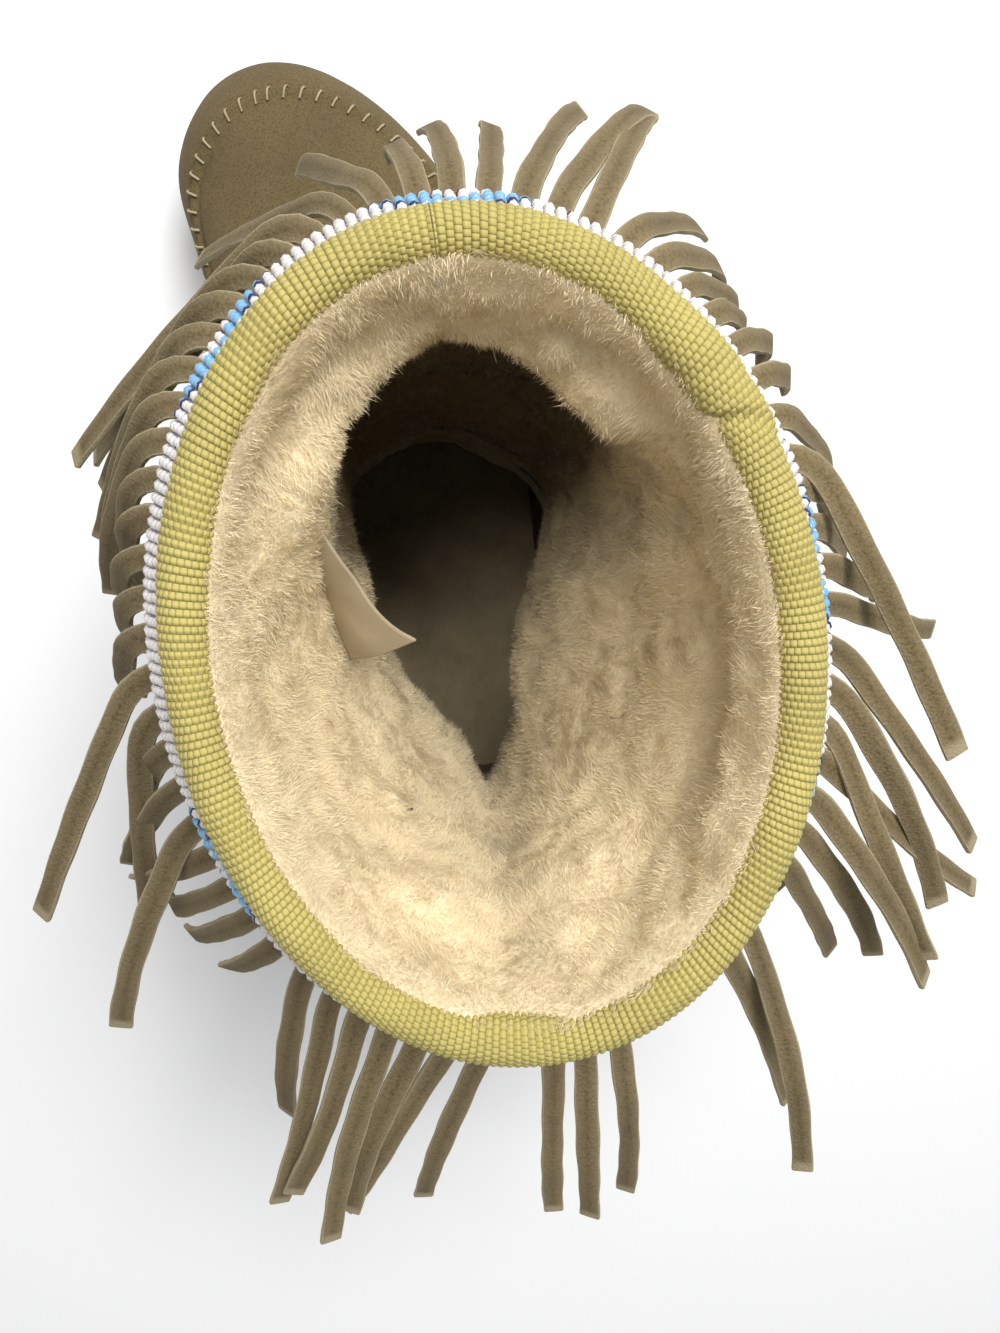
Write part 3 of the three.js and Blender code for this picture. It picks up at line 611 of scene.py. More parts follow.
class BOOT_OT_sole(bpy.types.Operator):
    """Rubber outsole with its lugs and step, and the footbed with its wool top"""
    bl_idname = "boot.sole"
    bl_label = "Outsole and footbed"

    sections, footbed_sections, footbed_columns = 150, 100, 30
    groove_wall, sharp_angle = 0.02, 28
    footbed_fade, footbed_shade = (-80, -20), 0.5

    def section(self, y, margin):
        """Left and right edge of the outline at y: the angle where the outline reaches y."""
        middle = HEEL_BACK - FOOT_LENGTH / 2
        angle = np.arccos(np.clip((middle - y) / (FOOT_LENGTH / 2 + margin), -1, 1))
        return foot_point(angle, margin)[..., 0], foot_point(-angle, margin)[..., 0]

    def execute(self, context):
        rubber = material("rubber", context.scene.boot_colours.rubber)
        middle, half = HEEL_BACK - FOOT_LENGTH / 2, FOOT_LENGTH / 2 + WELT
        y = middle - half * np.cos(np.linspace(0, np.pi, self.sections))
        alongs = np.r_[np.linspace(*HEEL_GROOVE_SPAN, HEEL_GROOVES),
                       np.linspace(*FOREFOOT_GROOVE_SPAN, FOREFOOT_GROOVES)]
        grooves = HEEL_BACK - FOOT_LENGTH * alongs
        half_groove = GROOVE_WIDTH / 2
        edges = [grooves + s * (half_groove + e) for s in (-1, 1)
                 for e in (-self.groove_wall, self.groove_wall)]
        y = np.sort(np.r_[y, np.concatenate(edges)])
        lift = np.full(len(y), -1.0)
        for g in grooves:
            lift = np.where(np.abs(y - g) < half_groove, sole_bottom(g) + GROOVE_DEPTH, lift)
        low, high = sole_bottom(y), sole_top(y)
        left, right = [], []
        for up, out in SOLE_SIDE_ROWS:
            x_left, x_right = self.section(y, WELT * out)
            z = np.maximum(lerp(low, high, up), lift)
            left.append(np.stack([x_left, y, z], -1))
            right.append(np.stack([x_right, y, z], -1))
        bottom = [lerp(right[0], left[0], t) for t in np.linspace(0, 1, 10)[1:-1]]
        top = [lerp(left[-1], right[-1], t) for t in np.linspace(0, 1, 6)[1:-1]]
        loop = np.array(left + top + right[::-1] + bottom).transpose(1, 0, 2)
        build("rubber_outsole", loop, loft_faces(len(y), loop.shape[1]), rubber,
              sharp=self.sharp_angle, replaces=("outsole",))
        self.footbed()
        return {"FINISHED"}

    def footbed(self):
        wool = material("footbed_wool", FOOTBED_COLOUR, key="deep", key_colour=PAINTED_SHADE)
        inset = -(WALL + FOOTBED_GAP)
        half = FOOT_LENGTH / 2 + inset
        sweep = np.linspace(0.02, np.pi - 0.02, self.footbed_sections)
        y = HEEL_BACK - FOOT_LENGTH / 2 - half * np.cos(sweep)
        x_left, x_right = self.section(y, inset)
        across = np.linspace(0, 1, self.footbed_columns)[None]
        x = lerp(x_right[:, None], x_left[:, None], 0.5 - 0.5 * np.cos(np.pi * across))
        spot = np.stack([x, np.broadcast_to(y[:, None], x.shape), np.zeros_like(x)], -1)
        edge = np.minimum(1, np.minimum(across, 1 - across) * 12)
        pile = edge * (0.5 * noise(spot, 9.0, 11) + 0.35 * noise(spot, 3.0, 12) - 0.4)
        z = sole_top(y)[:, None] + GAP + INSOLE_THICKNESS + pile
        top = np.stack([x, spot[..., 1], z], -1)
        under = np.stack([x, spot[..., 1], np.broadcast_to((sole_top(y) + GAP)[:, None], x.shape)], -1)
        loop = np.concatenate([top, under[:, ::-1]], 1)
        # Painted shade: the footbed mixes half-way towards the unlit depth's colour at the toe, none from
        # the midfoot to the heel
        deep = self.footbed_shade * (1 - smoothstep(loop[..., 1], *self.footbed_fade))
        build("wool_footbed", loop, loft_faces(len(y), loop.shape[1]), wool,
              values={"deep": deep}, replaces=("insole",))


class BOOT_OT_binding(bpy.types.Operator):
    """Ribbed tape folded over the collar's edge, with its lapped joint"""
    bl_idname = "boot.binding"
    bl_label = "Collar binding"

    steps, section_steps = 5, 26
    lap_turn, lap_slant, lap_height = 292, 17, 0.85
    fold_turn, fold_share, fold_height = 172, 0.60, 0.9
    block_length, groove_tone, ridge_tone = 1.15, 0.58, 1.08

    def execute(self, context):
        sizes = context.scene.boot_sizes
        tape = self.finish(context.scene.boot_colours.tape)
        turn = even_turns(sizes.rib_count * self.steps)
        rib = np.arange(len(turn)) / self.steps
        section = np.array([(out * BINDING_WIDTH, COLLAR_HEIGHT - down * BINDING_DROP)
                            for out, down in BINDING_ROWS])
        along = np.r_[0, np.cumsum(np.hypot(*np.diff(section, axis=0).T))]
        fine = np.linspace(0, along[-1], self.section_steps)
        section = np.stack([curve(along, section[:, k], fine) for k in (0, 1)], -1)
        tangent = np.gradient(section, axis=0)
        normal = unit(np.stack([-tangent[:, 1], tangent[:, 0]], -1))
        normal *= np.sign(normal[len(normal) // 2, 1])
        spot = collar_points(turn[None], section[:, :1], section[:, 1:])
        wave = np.abs(np.cos(np.pi * (rib + 0.13 * np.sin(rib * 0.31)))) ** 0.8 - 0.55
        ridge = sizes.rib_height / MM * wave[None]
        ridge = ridge * (1 + 0.25 * noise(spot, 2.2, 21)) + 0.18 * noise(spot, 11.0, 22)
        ridge = self.joints(ridge, np.degrees(turn)[None], (fine / along[-1])[:, None])
        moved = collar_points(turn[None], section[:, :1] + normal[:, :1] * ridge,
                              section[:, 1:] + normal[:, 1:] * ridge)
        slot_in, roof = SLOT_OUT - WALL - GAP, COLLAR_HEIGHT - BINDING_ROOF
        rest = [(slot_in, section[-1, 1]), (slot_in, roof), (-BINDING_OUTER_LEG, roof),
                (-BINDING_OUTER_LEG, BINDING_FOOT)]
        points = np.concatenate([moved, np.array([collar_points(turn, out, z) for out, z in rest])])
        v = np.r_[fine, along[-1] + np.array([2.0, 10.0, 14.0, 20.0])]
        uv = np.stack(np.broadcast_arrays(rib[None], v[:, None]), -1)
        faces = grid_faces(len(points), len(turn), round_rows=True)
        build("ribbed_binding", points, faces, tape, uv=uv, replaces=("collar_binding",))
        return {"FINISHED"}

    def joints(self, ridge, angle, share):
        """The lap of the tape's end, raised on its slanting line, and the tuck at the back."""
        lap_line = self.lap_turn + self.lap_slant * share + 1.2 * np.sin(6 * share)
        lap = (smoothstep(angle, lap_line - 0.5, lap_line + 0.5)
               * (1 - smoothstep(angle, lap_line + 9, lap_line + 26)))
        crease = (np.exp(-((angle - lap_line + 1.4) / 1.0) ** 2)
                  + 0.6 * np.exp(-((angle - lap_line - 7) / 1.2) ** 2))
        ridge = ridge + self.lap_height * lap - 0.45 * crease
        fold_line = self.fold_share + 0.10 * ((angle - self.fold_turn) / 14) ** 2
        back_fold = np.exp(-((angle - self.fold_turn) / 9.0) ** 4)
        return ridge + back_fold * (self.fold_height * smoothstep(share, fold_line, fold_line + 0.07)
                                    - 0.55 * np.exp(-((share - fold_line) / 0.022) ** 2))

    def finish(self, colour):
        """Each rib is woven in short blocks, half a block apart from rib to rib, from the piece's own ribs
        and millimetres; its colour is darker in the grooves and between the blocks and a little lighter on
        their crests, painted shade and light of the weave's relief."""
        finish = material("tape", colour)
        nodes, links = finish.node_tree.nodes, finish.node_tree.links
        shader = nodes["Principled BSDF"]

        def combine(kind, a, b=None):
            node = nodes.new("ShaderNodeMath")
            node.operation = kind
            for value, socket in zip((a, b), node.inputs):
                if isinstance(value, (int, float)):
                    socket.default_value = value
                elif value is not None:
                    links.new(value, socket)
            return node.outputs[0]

        own = nodes.new("ShaderNodeUVMap")
        own.uv_map = "own"
        split = nodes.new("ShaderNodeSeparateXYZ")
        links.new(own.outputs["UV"], split.inputs[0])
        rib, down = split.outputs[0], split.outputs[1]
        groove = combine("ABSOLUTE", combine("COSINE", combine("MULTIPLY", rib, math.pi)))
        odd = combine("FLOOR", combine("MODULO", combine("ADD", rib, 0.5), 2))
        shift = combine("MULTIPLY", odd, math.pi / 2)
        along = combine("MULTIPLY", down, math.pi / self.block_length)
        block = combine("ABSOLUTE", combine("SINE", combine("ADD", along, shift)))
        height = combine("ADD", combine("MULTIPLY", combine("POWER", groove, 0.5), 0.5),
                         combine("MULTIPLY", combine("POWER", block, 0.45), 0.5))
        bump = nodes.new("ShaderNodeBump")
        bump.inputs["Strength"].default_value, bump.inputs["Distance"].default_value = 1.0, 0.0005
        links.new(height, bump.inputs["Height"])
        links.new(bump.outputs["Normal"], shader.inputs["Normal"])
        dim = nodes.new("ShaderNodeMix")
        dim.data_type, dim.blend_type = "RGBA", "MULTIPLY"
        dim.inputs["Factor"].default_value = 1.0
        # Painted shade and light: the colour is multiplied down in the relief's hollows and up on its
        # crests
        shade = nodes.new("ShaderNodeMapRange")
        shade.inputs["To Min"].default_value = self.groove_tone
        shade.inputs["To Max"].default_value = self.ridge_tone
        shade.inputs["From Max"].default_value = 0.75
        links.new(height, shade.inputs["Value"])
        links.new(shader.inputs["Base Color"].links[0].from_socket, dim.inputs[6])
        links.new(shade.outputs["Result"], dim.inputs[7])
        links.new(dim.outputs[2], shader.inputs["Base Color"])
        return finish


class BOOT_OT_beads(bpy.types.Operator):
    """Loomed seed beads round the edge below the binding, and their backing"""
    bl_idname = "boot.beads"
    bl_label = "Beaded band"

    sides, backing_rows, backing_columns = 7, 24, 200
    sink, margin, backing_thickness = 0.95, 0.3, 0.9
    # Radius and height of a bead's rings
    profile = [(0.40, 0.70), (0.93, 0.46), (0.93, -0.46), (0.40, -0.70)]
    repeat, first_column, middle_row = 23, 9, 0.4

    def execute(self, context):
        sizes, colours = context.scene.boot_sizes, context.scene.boot_colours
        columns, rows = sizes.bead_columns, sizes.bead_rows
        turn = even_turns(columns)
        depth = BAND_START + (np.arange(rows) + 0.5) / rows * (BAND_HEIGHT - 2 * self.margin) + self.margin
        proud = GAP + BAND_THICKNESS - self.sink
        out, z = edge_line(BINDING_FOOT - depth, proud)
        low_out, low_z = edge_line(BINDING_FOOT - depth - self.margin, proud)
        centre = collar_points(turn[:, None], out[None], z[None])
        axis = unit(centre - collar_points(turn[:, None], low_out[None], low_z[None]))
        side = unit(np.roll(centre, -1, 0) - np.roll(centre, 1, 0))
        face = np.cross(side, axis)
        rng = np.random.default_rng(7)
        jitter = rng.normal(0, 0.07, centre.shape)
        centre = centre + side * jitter[..., :1] + axis * jitter[..., 1:2]
        axis = unit(axis + side * rng.normal(0, 0.05, jitter.shape[:2])[..., None])
        scale = rng.normal(1, 0.035, centre.shape[:2])[..., None]
        t = circle(self.sides)[:, None]
        ring = side[:, :, None] * np.cos(t) + face[:, :, None] * np.sin(t)
        rings = [centre[:, :, None] + ring * r * scale[:, :, None] + axis[:, :, None] * h
                 for r, h in self.profile]
        points = np.stack(rings, 2).reshape(columns * rows, len(self.profile) * self.sides, 3)
        kind = self.pattern(columns, rows).ravel()
        one = grid_faces(len(self.profile), self.sides)
        for index, name in enumerate(("white", "blue", "red", "navy")):
            finish = material("bead_" + name, getattr(colours, name), kind="bead")
            chosen = points[kind == index]
            build("beads_" + name, chosen, repeated(one, len(chosen), points.shape[1]), finish)
        backing = material("bead_backing", tone(colours.white, 0.7))
        heights = BINDING_FOOT - np.linspace(BAND_START, BAND_START + BAND_HEIGHT, self.backing_rows)
        grid = edge_sheet(heights, GAP + self.backing_thickness, GAP, self.backing_columns)
        faces = grid_faces(len(grid), self.backing_columns, round_rows=True)[:, ::-1]
        build("bead_backing", grid, faces, backing, replaces=("beaded_band",))
        return {"FINISHED"}

    def pattern(self, columns, rows):
        """Colour of each bead: nested diamonds joined by a bar, two repeats out of three."""
        across = np.abs((np.arange(columns) - self.first_column - 0.5) % self.repeat - 11)[:, None]
        level = np.abs(np.arange(rows) - self.middle_row * rows)[None]
        reach = across + level + 6 * (level > self.middle_row * rows - 0.5)
        kind = np.zeros((columns, rows), int)
        for limit, colour in ((9.6, 3), (8.4, 1), (5.2, 0), (3.6, 2)):
            kind[reach < limit] = colour
        kind[(across > 9.4) & (level < 1.6)] = 2
        kind[(np.arange(columns) - self.first_column) // self.repeat % 3 == 1] = 0
        return kind


def spread(number, salt):
    """A fixed number from -1 to 1 for a strip and a salt: the fraction of a large sine."""
    value = np.sin(number * 12.9898 + salt * 78.233) * 43758.5453
    return 2 * (value - np.floor(value)) - 1


class BOOT_OT_fringe(bpy.types.Operator):
    """Suede fringe: its header and one bent, twisted strip for each cut"""
    bl_idname = "boot.fringe"
    bl_label = "Fringe"

    columns, header_rows, steps, sharp_angle = 240, 5, 34, 50
    header_edge, tip_edge = 0.2, 0.7

    def execute(self, context):
        colours = context.scene.boot_colours
        suede = material("fringe_suede", colours.suede, key="edge", key_colour=colours.cut)
        start = BAND_START + BAND_HEIGHT + GAP
        heights = BINDING_FOOT - np.linspace(start, start + HEADER_HEIGHT, self.header_rows)
        grid = edge_sheet(heights, GAP + HEADER_THICKNESS, GAP, self.columns)
        base = grid.shape[0] * grid.shape[1]
        faces = [grid_faces(len(grid), self.columns, round_rows=True)[:, ::-1]]
        points, edge = [grid.reshape(-1, 3)], [np.full(base, self.header_edge)]
        steps, shape = self.steps, self.shape()
        one, ends = grid_faces(steps, len(shape)), np.arange(len(shape))
        tip = np.zeros((steps, len(shape)))
        tip[-2:] = self.tip_edge
        for number in range(STRIP_COUNT):
            points.append(self.strip(number, steps, shape).reshape(-1, 3))
            edge.append(np.maximum(shape[:, 2][None], tip).ravel())
            faces += [one + base, (ends + base)[::-1][None], (ends + base + (steps - 1) * len(shape))[None]]
            base += steps * len(shape)
        build("suede_fringe", np.concatenate(points), faces, suede,
              values={"edge": np.concatenate(edge)}, sharp=self.sharp_angle, replaces=("fringe",))
        return {"FINISHED"}

    def shape(self):
        """Section of a strip: sideways, through, and how much of a cut edge it is."""
        w, h = STRIP_WIDTH / 2, STRIP_THICKNESS / 2
        under = [(-w + 0.15, -h * 0.8, 0.8), (-w + 0.5, -h, 0.25), (0, -h * 1.05, 0), (w - 0.5, -h, 0.25),
                 (w - 0.15, -h * 0.8, 0.8)]
        over = [(x, -y, cut) for x, y, cut in under[::-1]]
        return np.array([(-w, 0, 1)] + under + [(w, 0, 1)] + over)

    def strip(self, number, steps, shape):
        """One strip: its heading turns from nearly level to its lie over the bend, then droops,
        and its section turns slowly about the path."""
        turn = 360 * number / STRIP_COUNT
        splay = rows_at(FRINGE_ROWS, turn) + SPLAY_SPREAD * spread(number, 1)
        swing = rows_at(FRINGE_ROWS, turn, 2) + SWING_SPREAD * spread(number, 2)
        length = STRIP_LENGTH + LENGTH_SPREAD * spread(number, 3)
        z = BINDING_FOOT - BAND_START - BAND_HEIGHT - HEADER_HEIGHT / 2
        out = float(edge_out(z)) + GAP
        at = math.radians(turn)
        around = unit(collar_points(at + 0.017, out, z) - collar_points(at - 0.017, out, z))
        outwards = np.array([around[1], -around[0], 0])
        s = np.linspace(0, 1, steps) ** 0.9 * length
        bent = smoothstep(s, 0, STRIP_BEND)
        droop = smoothstep(s, STRIP_BEND, length) - 0.45
        down = np.radians(lerp(STRIP_START_SLOPE, 90 - splay, bent) + 11 * droop * bent
                          + 4 * spread(number, 4) * np.sin(s / 17 + number))
        lean = np.radians(swing * bent + 10 * spread(number, 5) * smoothstep(s, 20, length))
        heading = outwards * np.cos(lean)[:, None] + around * np.sin(lean)[:, None]
        path = heading * np.cos(down)[:, None] + np.array([0, 0, -1.0]) * np.sin(down)[:, None]
        walked = np.cumsum((path[1:] + path[:-1]) / 2 * np.diff(s)[:, None], axis=0)
        where = collar_points(at, out, z) + np.r_[np.zeros((1, 3)), walked]
        side = unit(np.cross(np.array([0, 0, 1.0]), heading))
        face = np.cross(side, path)
        roll = np.radians(34 * spread(number, 6) * smoothstep(s, 6, length)
                          + 16 * spread(number, 7) * np.sin(s / 26 + 2 * number))
        turned = side * np.cos(roll)[:, None] + face * np.sin(roll)[:, None]
        thick = face * np.cos(roll)[:, None] - side * np.sin(roll)[:, None]
        width = 1 + 0.05 * spread(number, 8) + 0.04 * np.sin(s / 9 + number * 2.1)
        wobble = 0.12 * np.sin(s[:, None] / 3.1 + shape[None, :, 0] + number)
        wide = shape[None, :, :1] * width[:, None, None] + wobble[..., None] * shape[None, :, 2:]
        return where[:, None] + turned[:, None] * wide + thick[:, None] * shape[None, :, 1:2]


def wall_radius(z, turn):
    """Radius of the upper's inner face about the collar's middle, by turn, at a height."""
    count = 240
    rings = upper_rings(circle(count))[len(VAMP_ROWS):]
    heights = rings[:, 0, 2]
    flat = np.array([[np.interp(z, heights, rings[:, j, k]) for k in (0, 1)] for j in range(count)])
    side, forward = twisted(*(flat - COLLAR_MIDDLE).T).T
    return np.interp(turn, np.arctan2(side, forward) % (2 * np.pi), np.hypot(side, forward) - WALL,
                     period=2 * np.pi)


def pile_grid(count, levels):
    """The pile's surface: radii by turn at each level about the collar's middle, no further out
    than the wall allows, and joined up the shaft by a smooth curve."""
    turn = circle(count)
    direction = np.stack([np.sin(turn), np.cos(turn)], -1)
    rings = []
    for out, z in PILE_TOP_ROWS:
        width, length = COLLAR_WIDTH + 2 * out, COLLAR_LENGTH + 2 * out
        radius = 1 / np.sqrt((direction[:, 0] / (width / 2)) ** 2 + (direction[:, 1] / (length / 2)) ** 2)
        rings.append((radius, z))
    for z, radii in PILE_LEVELS:
        radius = curve(PILE_TURNS, radii, np.degrees(turn))
        rings.append((np.minimum(radius, wall_radius(z, turn) - PILE_CLEAR), z))
    grid = []
    for radius, z in rings:
        flat = twisted(*(radius[:, None] * direction).T) + COLLAR_MIDDLE
        grid.append(np.c_[flat, np.full(count, z)])
    inset = 2 * WALL + 2 * PILE_FOOT_INSET
    low = oval_point(turn, ANKLE_LENGTH - inset, ANKLE_WIDTH - inset, 0)
    grid.append(np.c_[low, np.full(count, PILE_FOOT)])
    grid = np.array(grid)[::-1]
    rows = row_parameter(grid)
    return curve(rows, grid, np.linspace(0, rows[-1], levels))


def painted_depth_shade(points):
    """How much painted shade the pile gets for lying in the boot's unlit depth: below the roll at the
    front, below the ankle all round, and in the folds."""
    flat = points[..., :2] - COLLAR_MIDDLE
    ahead = -flat[..., 1] / np.maximum(np.hypot(flat[..., 0], flat[..., 1]), 1)
    front = smoothstep(ahead, 0.48, 0.80) * (1 - smoothstep(points[..., 2], 188, 210))
    low = 1 - smoothstep(points[..., 2], 112, 152)
    total = np.maximum(front, low) + 0.38 * (1 - smoothstep(points[..., 2], 130, 222))
    for x, y, z, radius, share in SHADE_ROWS:
        total += share * np.exp(-((points - [x, y, z]) ** 2).sum(-1) / radius**2)
    return np.minimum(1, total)


def lumps(points):
    """Height of the wool's lumps: three noises, each finer and lower than the last."""
    return 1.3 * noise(points, 11.0, 31) + 0.8 * noise(points, 5.2, 32) + 0.45 * noise(points, 2.4, 33)


class BOOT_OT_lining(bpy.types.Operator):
    """Shearling lining: the pile's lumpy surface, the foot's lining and the blades of wool"""
    bl_idname = "boot.lining"
    bl_label = "Shearling lining"

    columns, levels, foot_columns, foot_rows = 320, 124, 160, 60
    foot_inset, foot_tone, foot_fade = 3.2, 0.5, (-25, 20)
    blade_pieces, blade_from, blade_half_width, blade_sink = 3, 0.16, 0.052, 0.35

    def execute(self, context):
        colours, sizes = context.scene.boot_colours, context.scene.boot_sizes
        # Painted shade: the wool mixes towards the unlit depth's colour where it lies deep or folded
        wool = material("wool", colours.wool, key="deep", key_colour=PAINTED_SHADE)
        grid = pile_grid(self.columns, self.levels)
        fade = smoothstep(np.arange(self.levels)[::-1], 1, 9)[:, None]
        grid = grid - grid_normals(grid) * (lumps(grid) * fade)[..., None]
        build("shearling_lining", grid, grid_faces(self.levels, self.columns)[:, ::-1], wool,
              values={"deep": painted_depth_shade(grid)})
        self.foot(colours)
        self.blades(grid, -grid_normals(grid), sizes, colours)
        return {"FINISHED"}

    def foot(self, colours):
        # Painted shade: the foot's lining is the wool at half its tone, a dark sheet for the unlit foot
        dark = material("foot_wool", tone(colours.wool, self.foot_tone), key="deep", key_colour=PAINTED_SHADE)
        rings = upper_rings(circle(self.foot_columns))[:len(VAMP_ROWS) + 1]
        rows = row_parameter(rings)
        skin = curve(rows, rings, np.linspace(2, rows[-1], self.foot_rows))
        normal = grid_normals(skin)
        normal[:, :, 2] *= smoothstep(skin[..., 2], 30, 50)
        coarse, fine = noise(skin, 6.0, 41), noise(skin, 2.5, 42)
        skin = skin - unit(normal) * (WALL + self.foot_inset + 0.5 * coarse + 0.3 * fine)[..., None]
        # Painted shade: mixed fully towards the unlit depth's colour at the toe and half-way at the heel
        deep = 1 - 0.5 * smoothstep(skin[..., 1], *self.foot_fade)
        faces = grid_faces(self.foot_rows, self.foot_columns)[:, ::-1]
        build("foot_lining", skin, faces, dark, values={"deep": deep})

    def blades(self, grid, normal, sizes, colours):
        """Blades of wool: seeded roots on the pile's faces, each a bent sliver of four points that leans
        with a smooth field."""
        rng = np.random.default_rng(12)
        levels, count = grid.shape[:2]
        low = int(levels * self.blade_from)
        a, b = grid[low:-1], grid[low + 1:]
        area = (np.linalg.norm(np.roll(a, -1, 1) - a, axis=-1) * np.linalg.norm(b - a, axis=-1)).ravel()
        area = area / area.sum()
        # Painted shade: each blade takes the same darkening as the pile at its root
        finish = material("wool_blades", colours.wool, key="deep", key_colour=PAINTED_SHADE)
        for number in range(self.blade_pieces):
            pick = rng.choice(len(area), sizes.pile_count, p=area)
            i, j = pick // count + low, pick % count
            u, v = rng.random((2, sizes.pile_count, 1))
            k = (j + 1) % count
            root = lerp(lerp(grid[i, j], grid[i, k], u), lerp(grid[i + 1, j], grid[i + 1, k], u), v)
            up = normal[i, j]
            drift = np.stack([noise(root, 13.0, 61 + m) + 0.9 * noise(root, 4.5, 51 + m)
                              + 0.5 * noise(root, 1.8, 55 + m) for m in range(3)], -1)
            drift = drift + rng.normal(0, 0.30, drift.shape) + np.array([0, 0, -0.15])
            drift = drift - up * (drift * up).sum(-1, keepdims=True)
            length = sizes.pile_length / MM * rng.lognormal(0, 0.30, (len(root), 1))
            middle = root + length * (0.28 * up + 0.28 * drift)
            tip = middle + length * (0.16 * up + 0.36 * drift + 0.12 * rng.normal(0, 1, drift.shape))
            side = unit(np.cross(unit(tip - root), up + rng.normal(0, 0.22, up.shape)))
            side = side * (self.blade_half_width * rng.lognormal(0, 0.25, (len(root), 1)))
            points = np.stack([root - up * self.blade_sink, middle - side, middle + side, tip], 1)
            tilt = (np.cross(points[:, 1] - points[:, 0], points[:, 2] - points[:, 0]) * up).sum(-1)
            faces = np.where((tilt > 0)[:, None, None], np.array([[0, 1, 2], [1, 3, 2]]),
                             np.array([[0, 2, 1], [2, 3, 1]]))
            faces = (faces + np.arange(len(root))[:, None, None] * 4).reshape(-1, 3)
            build("wool_blades_%d" % (number + 1), points, faces, finish,
                  values={"deep": np.repeat(painted_depth_shade(root), 4)})


class BOOT_OT_tab(bpy.types.Operator):
    """Bare cotton tab inside the shaft, the loose thread ends and two specks on the wool"""
    bl_idname = "boot.tab"
    bl_label = "Cotton tab"

    # Upper and lower edge of the tab, from the pile to its free end
    top = [(21.2, -79.9, 219), (19.9, -72.5, 214), (17.7, -63.6, 208), (15.0, -54.3, 203),
           (12.4, -49.7, 200), (9.6, -46.6, 198)]
    low = [(27.0, -76.2, 208), (26.2, -68.2, 201), (25.7, -60.2, 195), (25.7, -53.0, 191),
           (25.7, -48.5, 189), (25.7, -45.4, 187)]
    columns, rows, bow, thickness = 60, 28, 1.2, 0.5
    thread_turn, thread_out, thread_height = 2, -8.2, 244.0
    thread_count, thread_steps, thread_radius = 14, 12, 0.08

    def execute(self, context):
        self.tab(material("cotton", context.scene.boot_colours.cotton))
        self.thread_ends()
        self.specks()
        return {"FINISHED"}

    def thread_ends(self):
        """Loose ends of the binding's thread: short paths that start together and curl apart."""
        rng = np.random.default_rng(5)
        base = collar_points(math.radians(self.thread_turn), self.thread_out, self.thread_height)
        t = np.linspace(0, 1, self.thread_steps)[None]
        swing = rng.normal(0, 1, (self.thread_count, 3))
        path = np.stack([
            base[0] - 1.2 * t + swing[:, :1] * 1.1 * t + 1.1 * np.sin(5 * t + 3 * swing[:, 1:2]) * t,
            base[1] + 2.6 * t + 0.8 * np.sin(6 * t + 4 * swing[:, 2:]) * t,
            base[2] + 1.6 * np.sin(2.2 * t + 0.5 * swing[:, :1]) - 3.0 * t**2], -1)
        points, faces = tubes(path, np.full(path.shape[:2], self.thread_radius), 4)
        build("thread_ends", points, faces, material("thread_white", LOOSE_THREAD_COLOUR))

    def specks(self):
        """A crumb and a short hair on the wool: small tubes on one bent path, by size."""
        bend = np.array([[-0.5, 0, 0.1], [-0.15, 0.1, 0.25], [0.2, 0.05, 0.2], [0.5, -0.1, 0.1]])
        spots = np.array([(21.4, -11.8, 199.6), (-28.2, -17.2, 194.0)])
        reach = np.array([1.1, 3.4])[:, None, None]
        radius = np.array([[0.24], [0.07]]) * np.ones(len(bend))
        points, faces = tubes(spots[:, None] + bend[None] * reach, radius, 5)
        build("specks", points, faces, material("speck", SPECK_COLOUR))

    def tab(self, cotton):
        """A folded tape: a ruled strip between two edges, each a smooth curve through given points, bowed
        between them and given a thin weave."""
        rows, columns = self.rows, self.columns
        t = np.linspace(0, 1, columns)
        first, second = (curve(np.linspace(0, 1, len(edge)), np.array(edge, float), t)
                         for edge in (self.top, self.low))
        s = np.linspace(0, 1, rows)[:, None, None]
        grid = lerp(first[None], second[None], s)
        normal = unit(np.cross(np.gradient(grid, axis=0), np.gradient(grid, axis=1)))
        grid = grid + normal * (self.bow * np.sin(np.pi * s) + 0.25 * noise(grid, 6.0, 61)[..., None])
        back = grid - normal * self.thickness
        size = rows * columns
        faces = grid_faces(rows, columns, round_cols=False)
        rim = np.r_[np.arange(columns), np.arange(1, rows) * columns + columns - 1,
                    np.arange(columns - 2, -1, -1) + (rows - 1) * columns,
                    np.arange(rows - 2, 0, -1) * columns]
        after = np.roll(rim, -1)
        edge = np.stack([rim, rim + size, after + size, after], -1)
        points = np.concatenate([grid.reshape(-1, 3), back.reshape(-1, 3)])
        piece = build("cotton_tab", points, [faces, faces[:, ::-1] + size, edge], cotton)


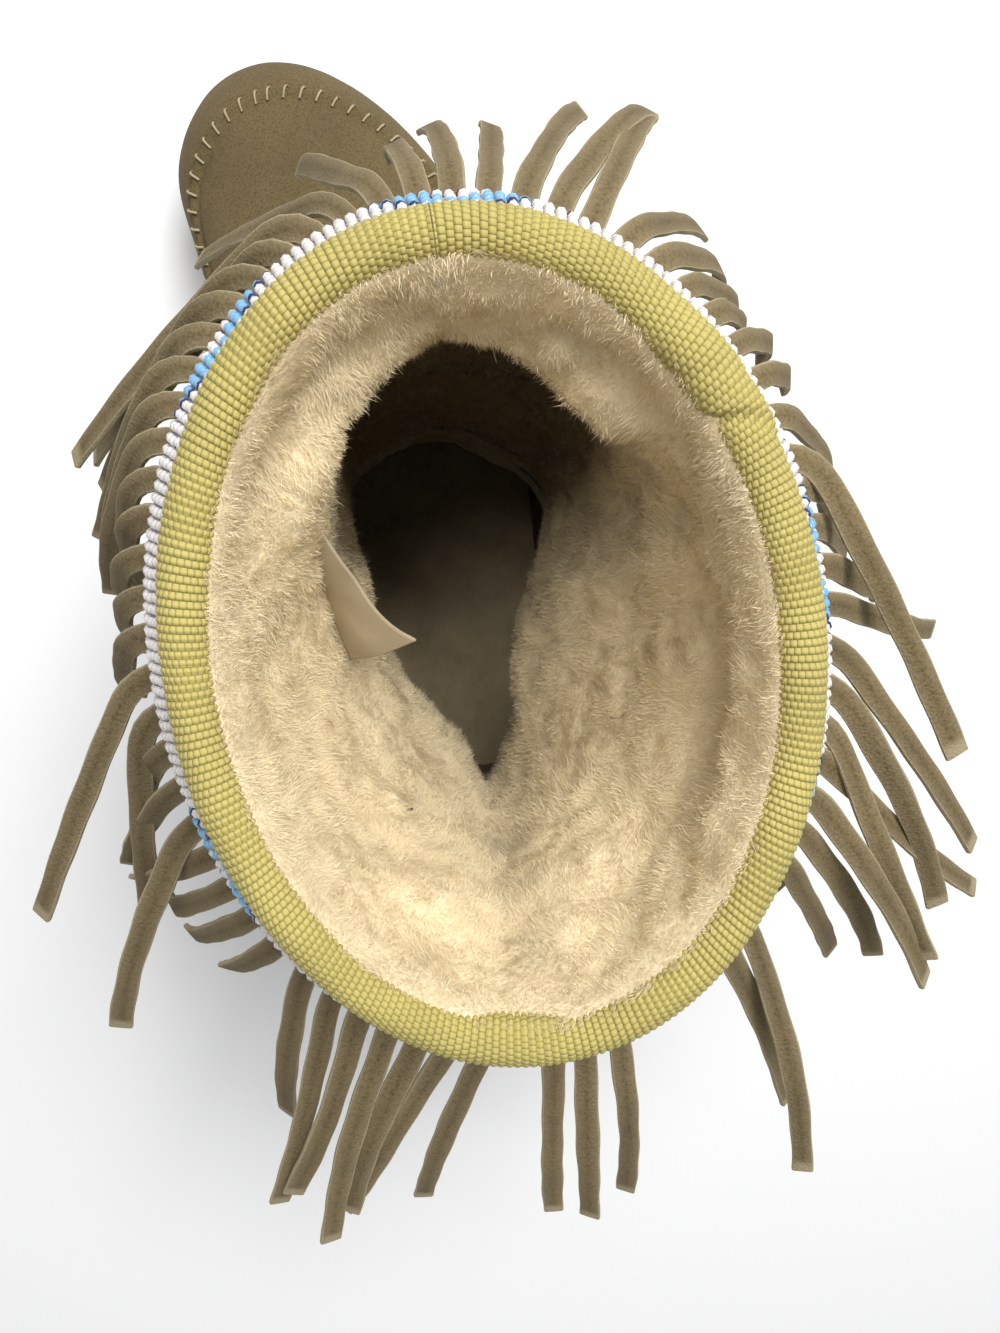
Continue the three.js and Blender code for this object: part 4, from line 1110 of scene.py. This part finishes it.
class BOOT_OT_stage(bpy.types.Operator):
    """Pale floor, soft light and the camera at the photo's angle"""
    bl_idname = "boot.stage"
    bl_label = "Stage"

    floor_size = 3000.0
    sky_colour, sky_strength = (0.97, 0.985, 1.0, 1), 0.35
    # Name, place, aim, power, size
    lamps = [("key", (-0.38, -0.46, 1.12), (0, -0.04, 0.2), 13.0, 0.5),
             ("top", (0.03, -0.38, 1.3), (0, -0.03, 0.05), 2.6, 0.3)]
    # Focal length and height of the photo's frame in its pixels, and the sensor's size
    focal, frame_height, sensor = 984.0, 1333.0, 36.0
    camera_place = (-0.00208, -0.07048, 0.408)
    camera_back, camera_right = (0.0190, -0.1614, 0.9867), (-0.9593, 0.2751, 0.0635)

    def execute(self, context):
        scene = context.scene
        size = self.floor_size
        corners = [(-size, -size, 0), (size, -size, 0), (size, size, 0), (-size, size, 0)]
        build("floor", corners, np.array([[0, 1, 2, 3]]), material("floor", FLOOR_COLOUR), stage=True)
        world = bpy.data.worlds.new("studio")
        scene.world = world
        world.use_nodes = True
        sky = world.node_tree.nodes["Background"]
        sky.inputs["Color"].default_value = self.sky_colour
        sky.inputs["Strength"].default_value = self.sky_strength
        for name, place, aim, power, extent in self.lamps:
            lamp = bpy.data.lights.new(name, "AREA")
            lamp.energy, lamp.size = power, extent
            holder = bpy.data.objects.new(name, lamp)
            holder.location = place
            holder.rotation_euler = (Vector(aim) - Vector(place)).to_track_quat("-Z", "Y").to_euler()
            scene.collection.objects.link(holder)
        back = Vector(self.camera_back).normalized()
        right = Vector(self.camera_right)
        right = (right - back * right.dot(back)).normalized()
        camera = bpy.data.cameras.new("photo")
        camera.lens = self.focal * self.sensor / self.frame_height
        camera.clip_start = 0.01
        holder = bpy.data.objects.new("photo", camera)
        turned = Matrix((right, back.cross(right), back)).transposed().to_4x4()
        holder.matrix_world = Matrix.Translation(self.camera_place) @ turned
        scene.collection.objects.link(holder)
        scene.camera = holder
        scene.view_settings.view_transform = "Standard"
        return {"FINISHED"}


class BOOT_PT_panel(bpy.types.Panel):
    """Sizes, colours and pieces of the boot"""
    bl_idname = "BOOT_PT_panel"
    bl_label = "Mukluk boot"
    bl_space_type = "VIEW_3D"
    bl_region_type = "UI"
    bl_category = "Boot"

    def draw(self, context):
        for group in (context.scene.boot_sizes, context.scene.boot_colours):
            for key in group.__annotations__:
                self.layout.prop(group, key)
        for operator in OPERATORS:
            self.layout.operator(operator.bl_idname)


OPERATORS = (BOOT_OT_upper, BOOT_OT_sole, BOOT_OT_binding, BOOT_OT_beads, BOOT_OT_fringe, BOOT_OT_lining,
             BOOT_OT_tab, BOOT_OT_stage)
CLASSES = (BootSizes, BootColours) + OPERATORS + (BOOT_PT_panel,)


def register():
    for cls in CLASSES:
        bpy.utils.register_class(cls)
    bpy.types.Scene.boot_sizes = bpy.props.PointerProperty(type=BootSizes)
    bpy.types.Scene.boot_colours = bpy.props.PointerProperty(type=BootColours)


def unregister():
    del bpy.types.Scene.boot_sizes, bpy.types.Scene.boot_colours
    for cls in reversed(CLASSES):
        bpy.utils.unregister_class(cls)


def main():
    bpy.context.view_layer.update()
    register()
    bpy.ops.boot.upper()
    bpy.ops.boot.sole()
    bpy.ops.boot.binding()
    bpy.ops.boot.beads()
    bpy.ops.boot.fringe()
    bpy.ops.boot.lining()
    bpy.ops.boot.tab()
    bpy.ops.boot.stage()


if __name__ == "__main__":
    main()
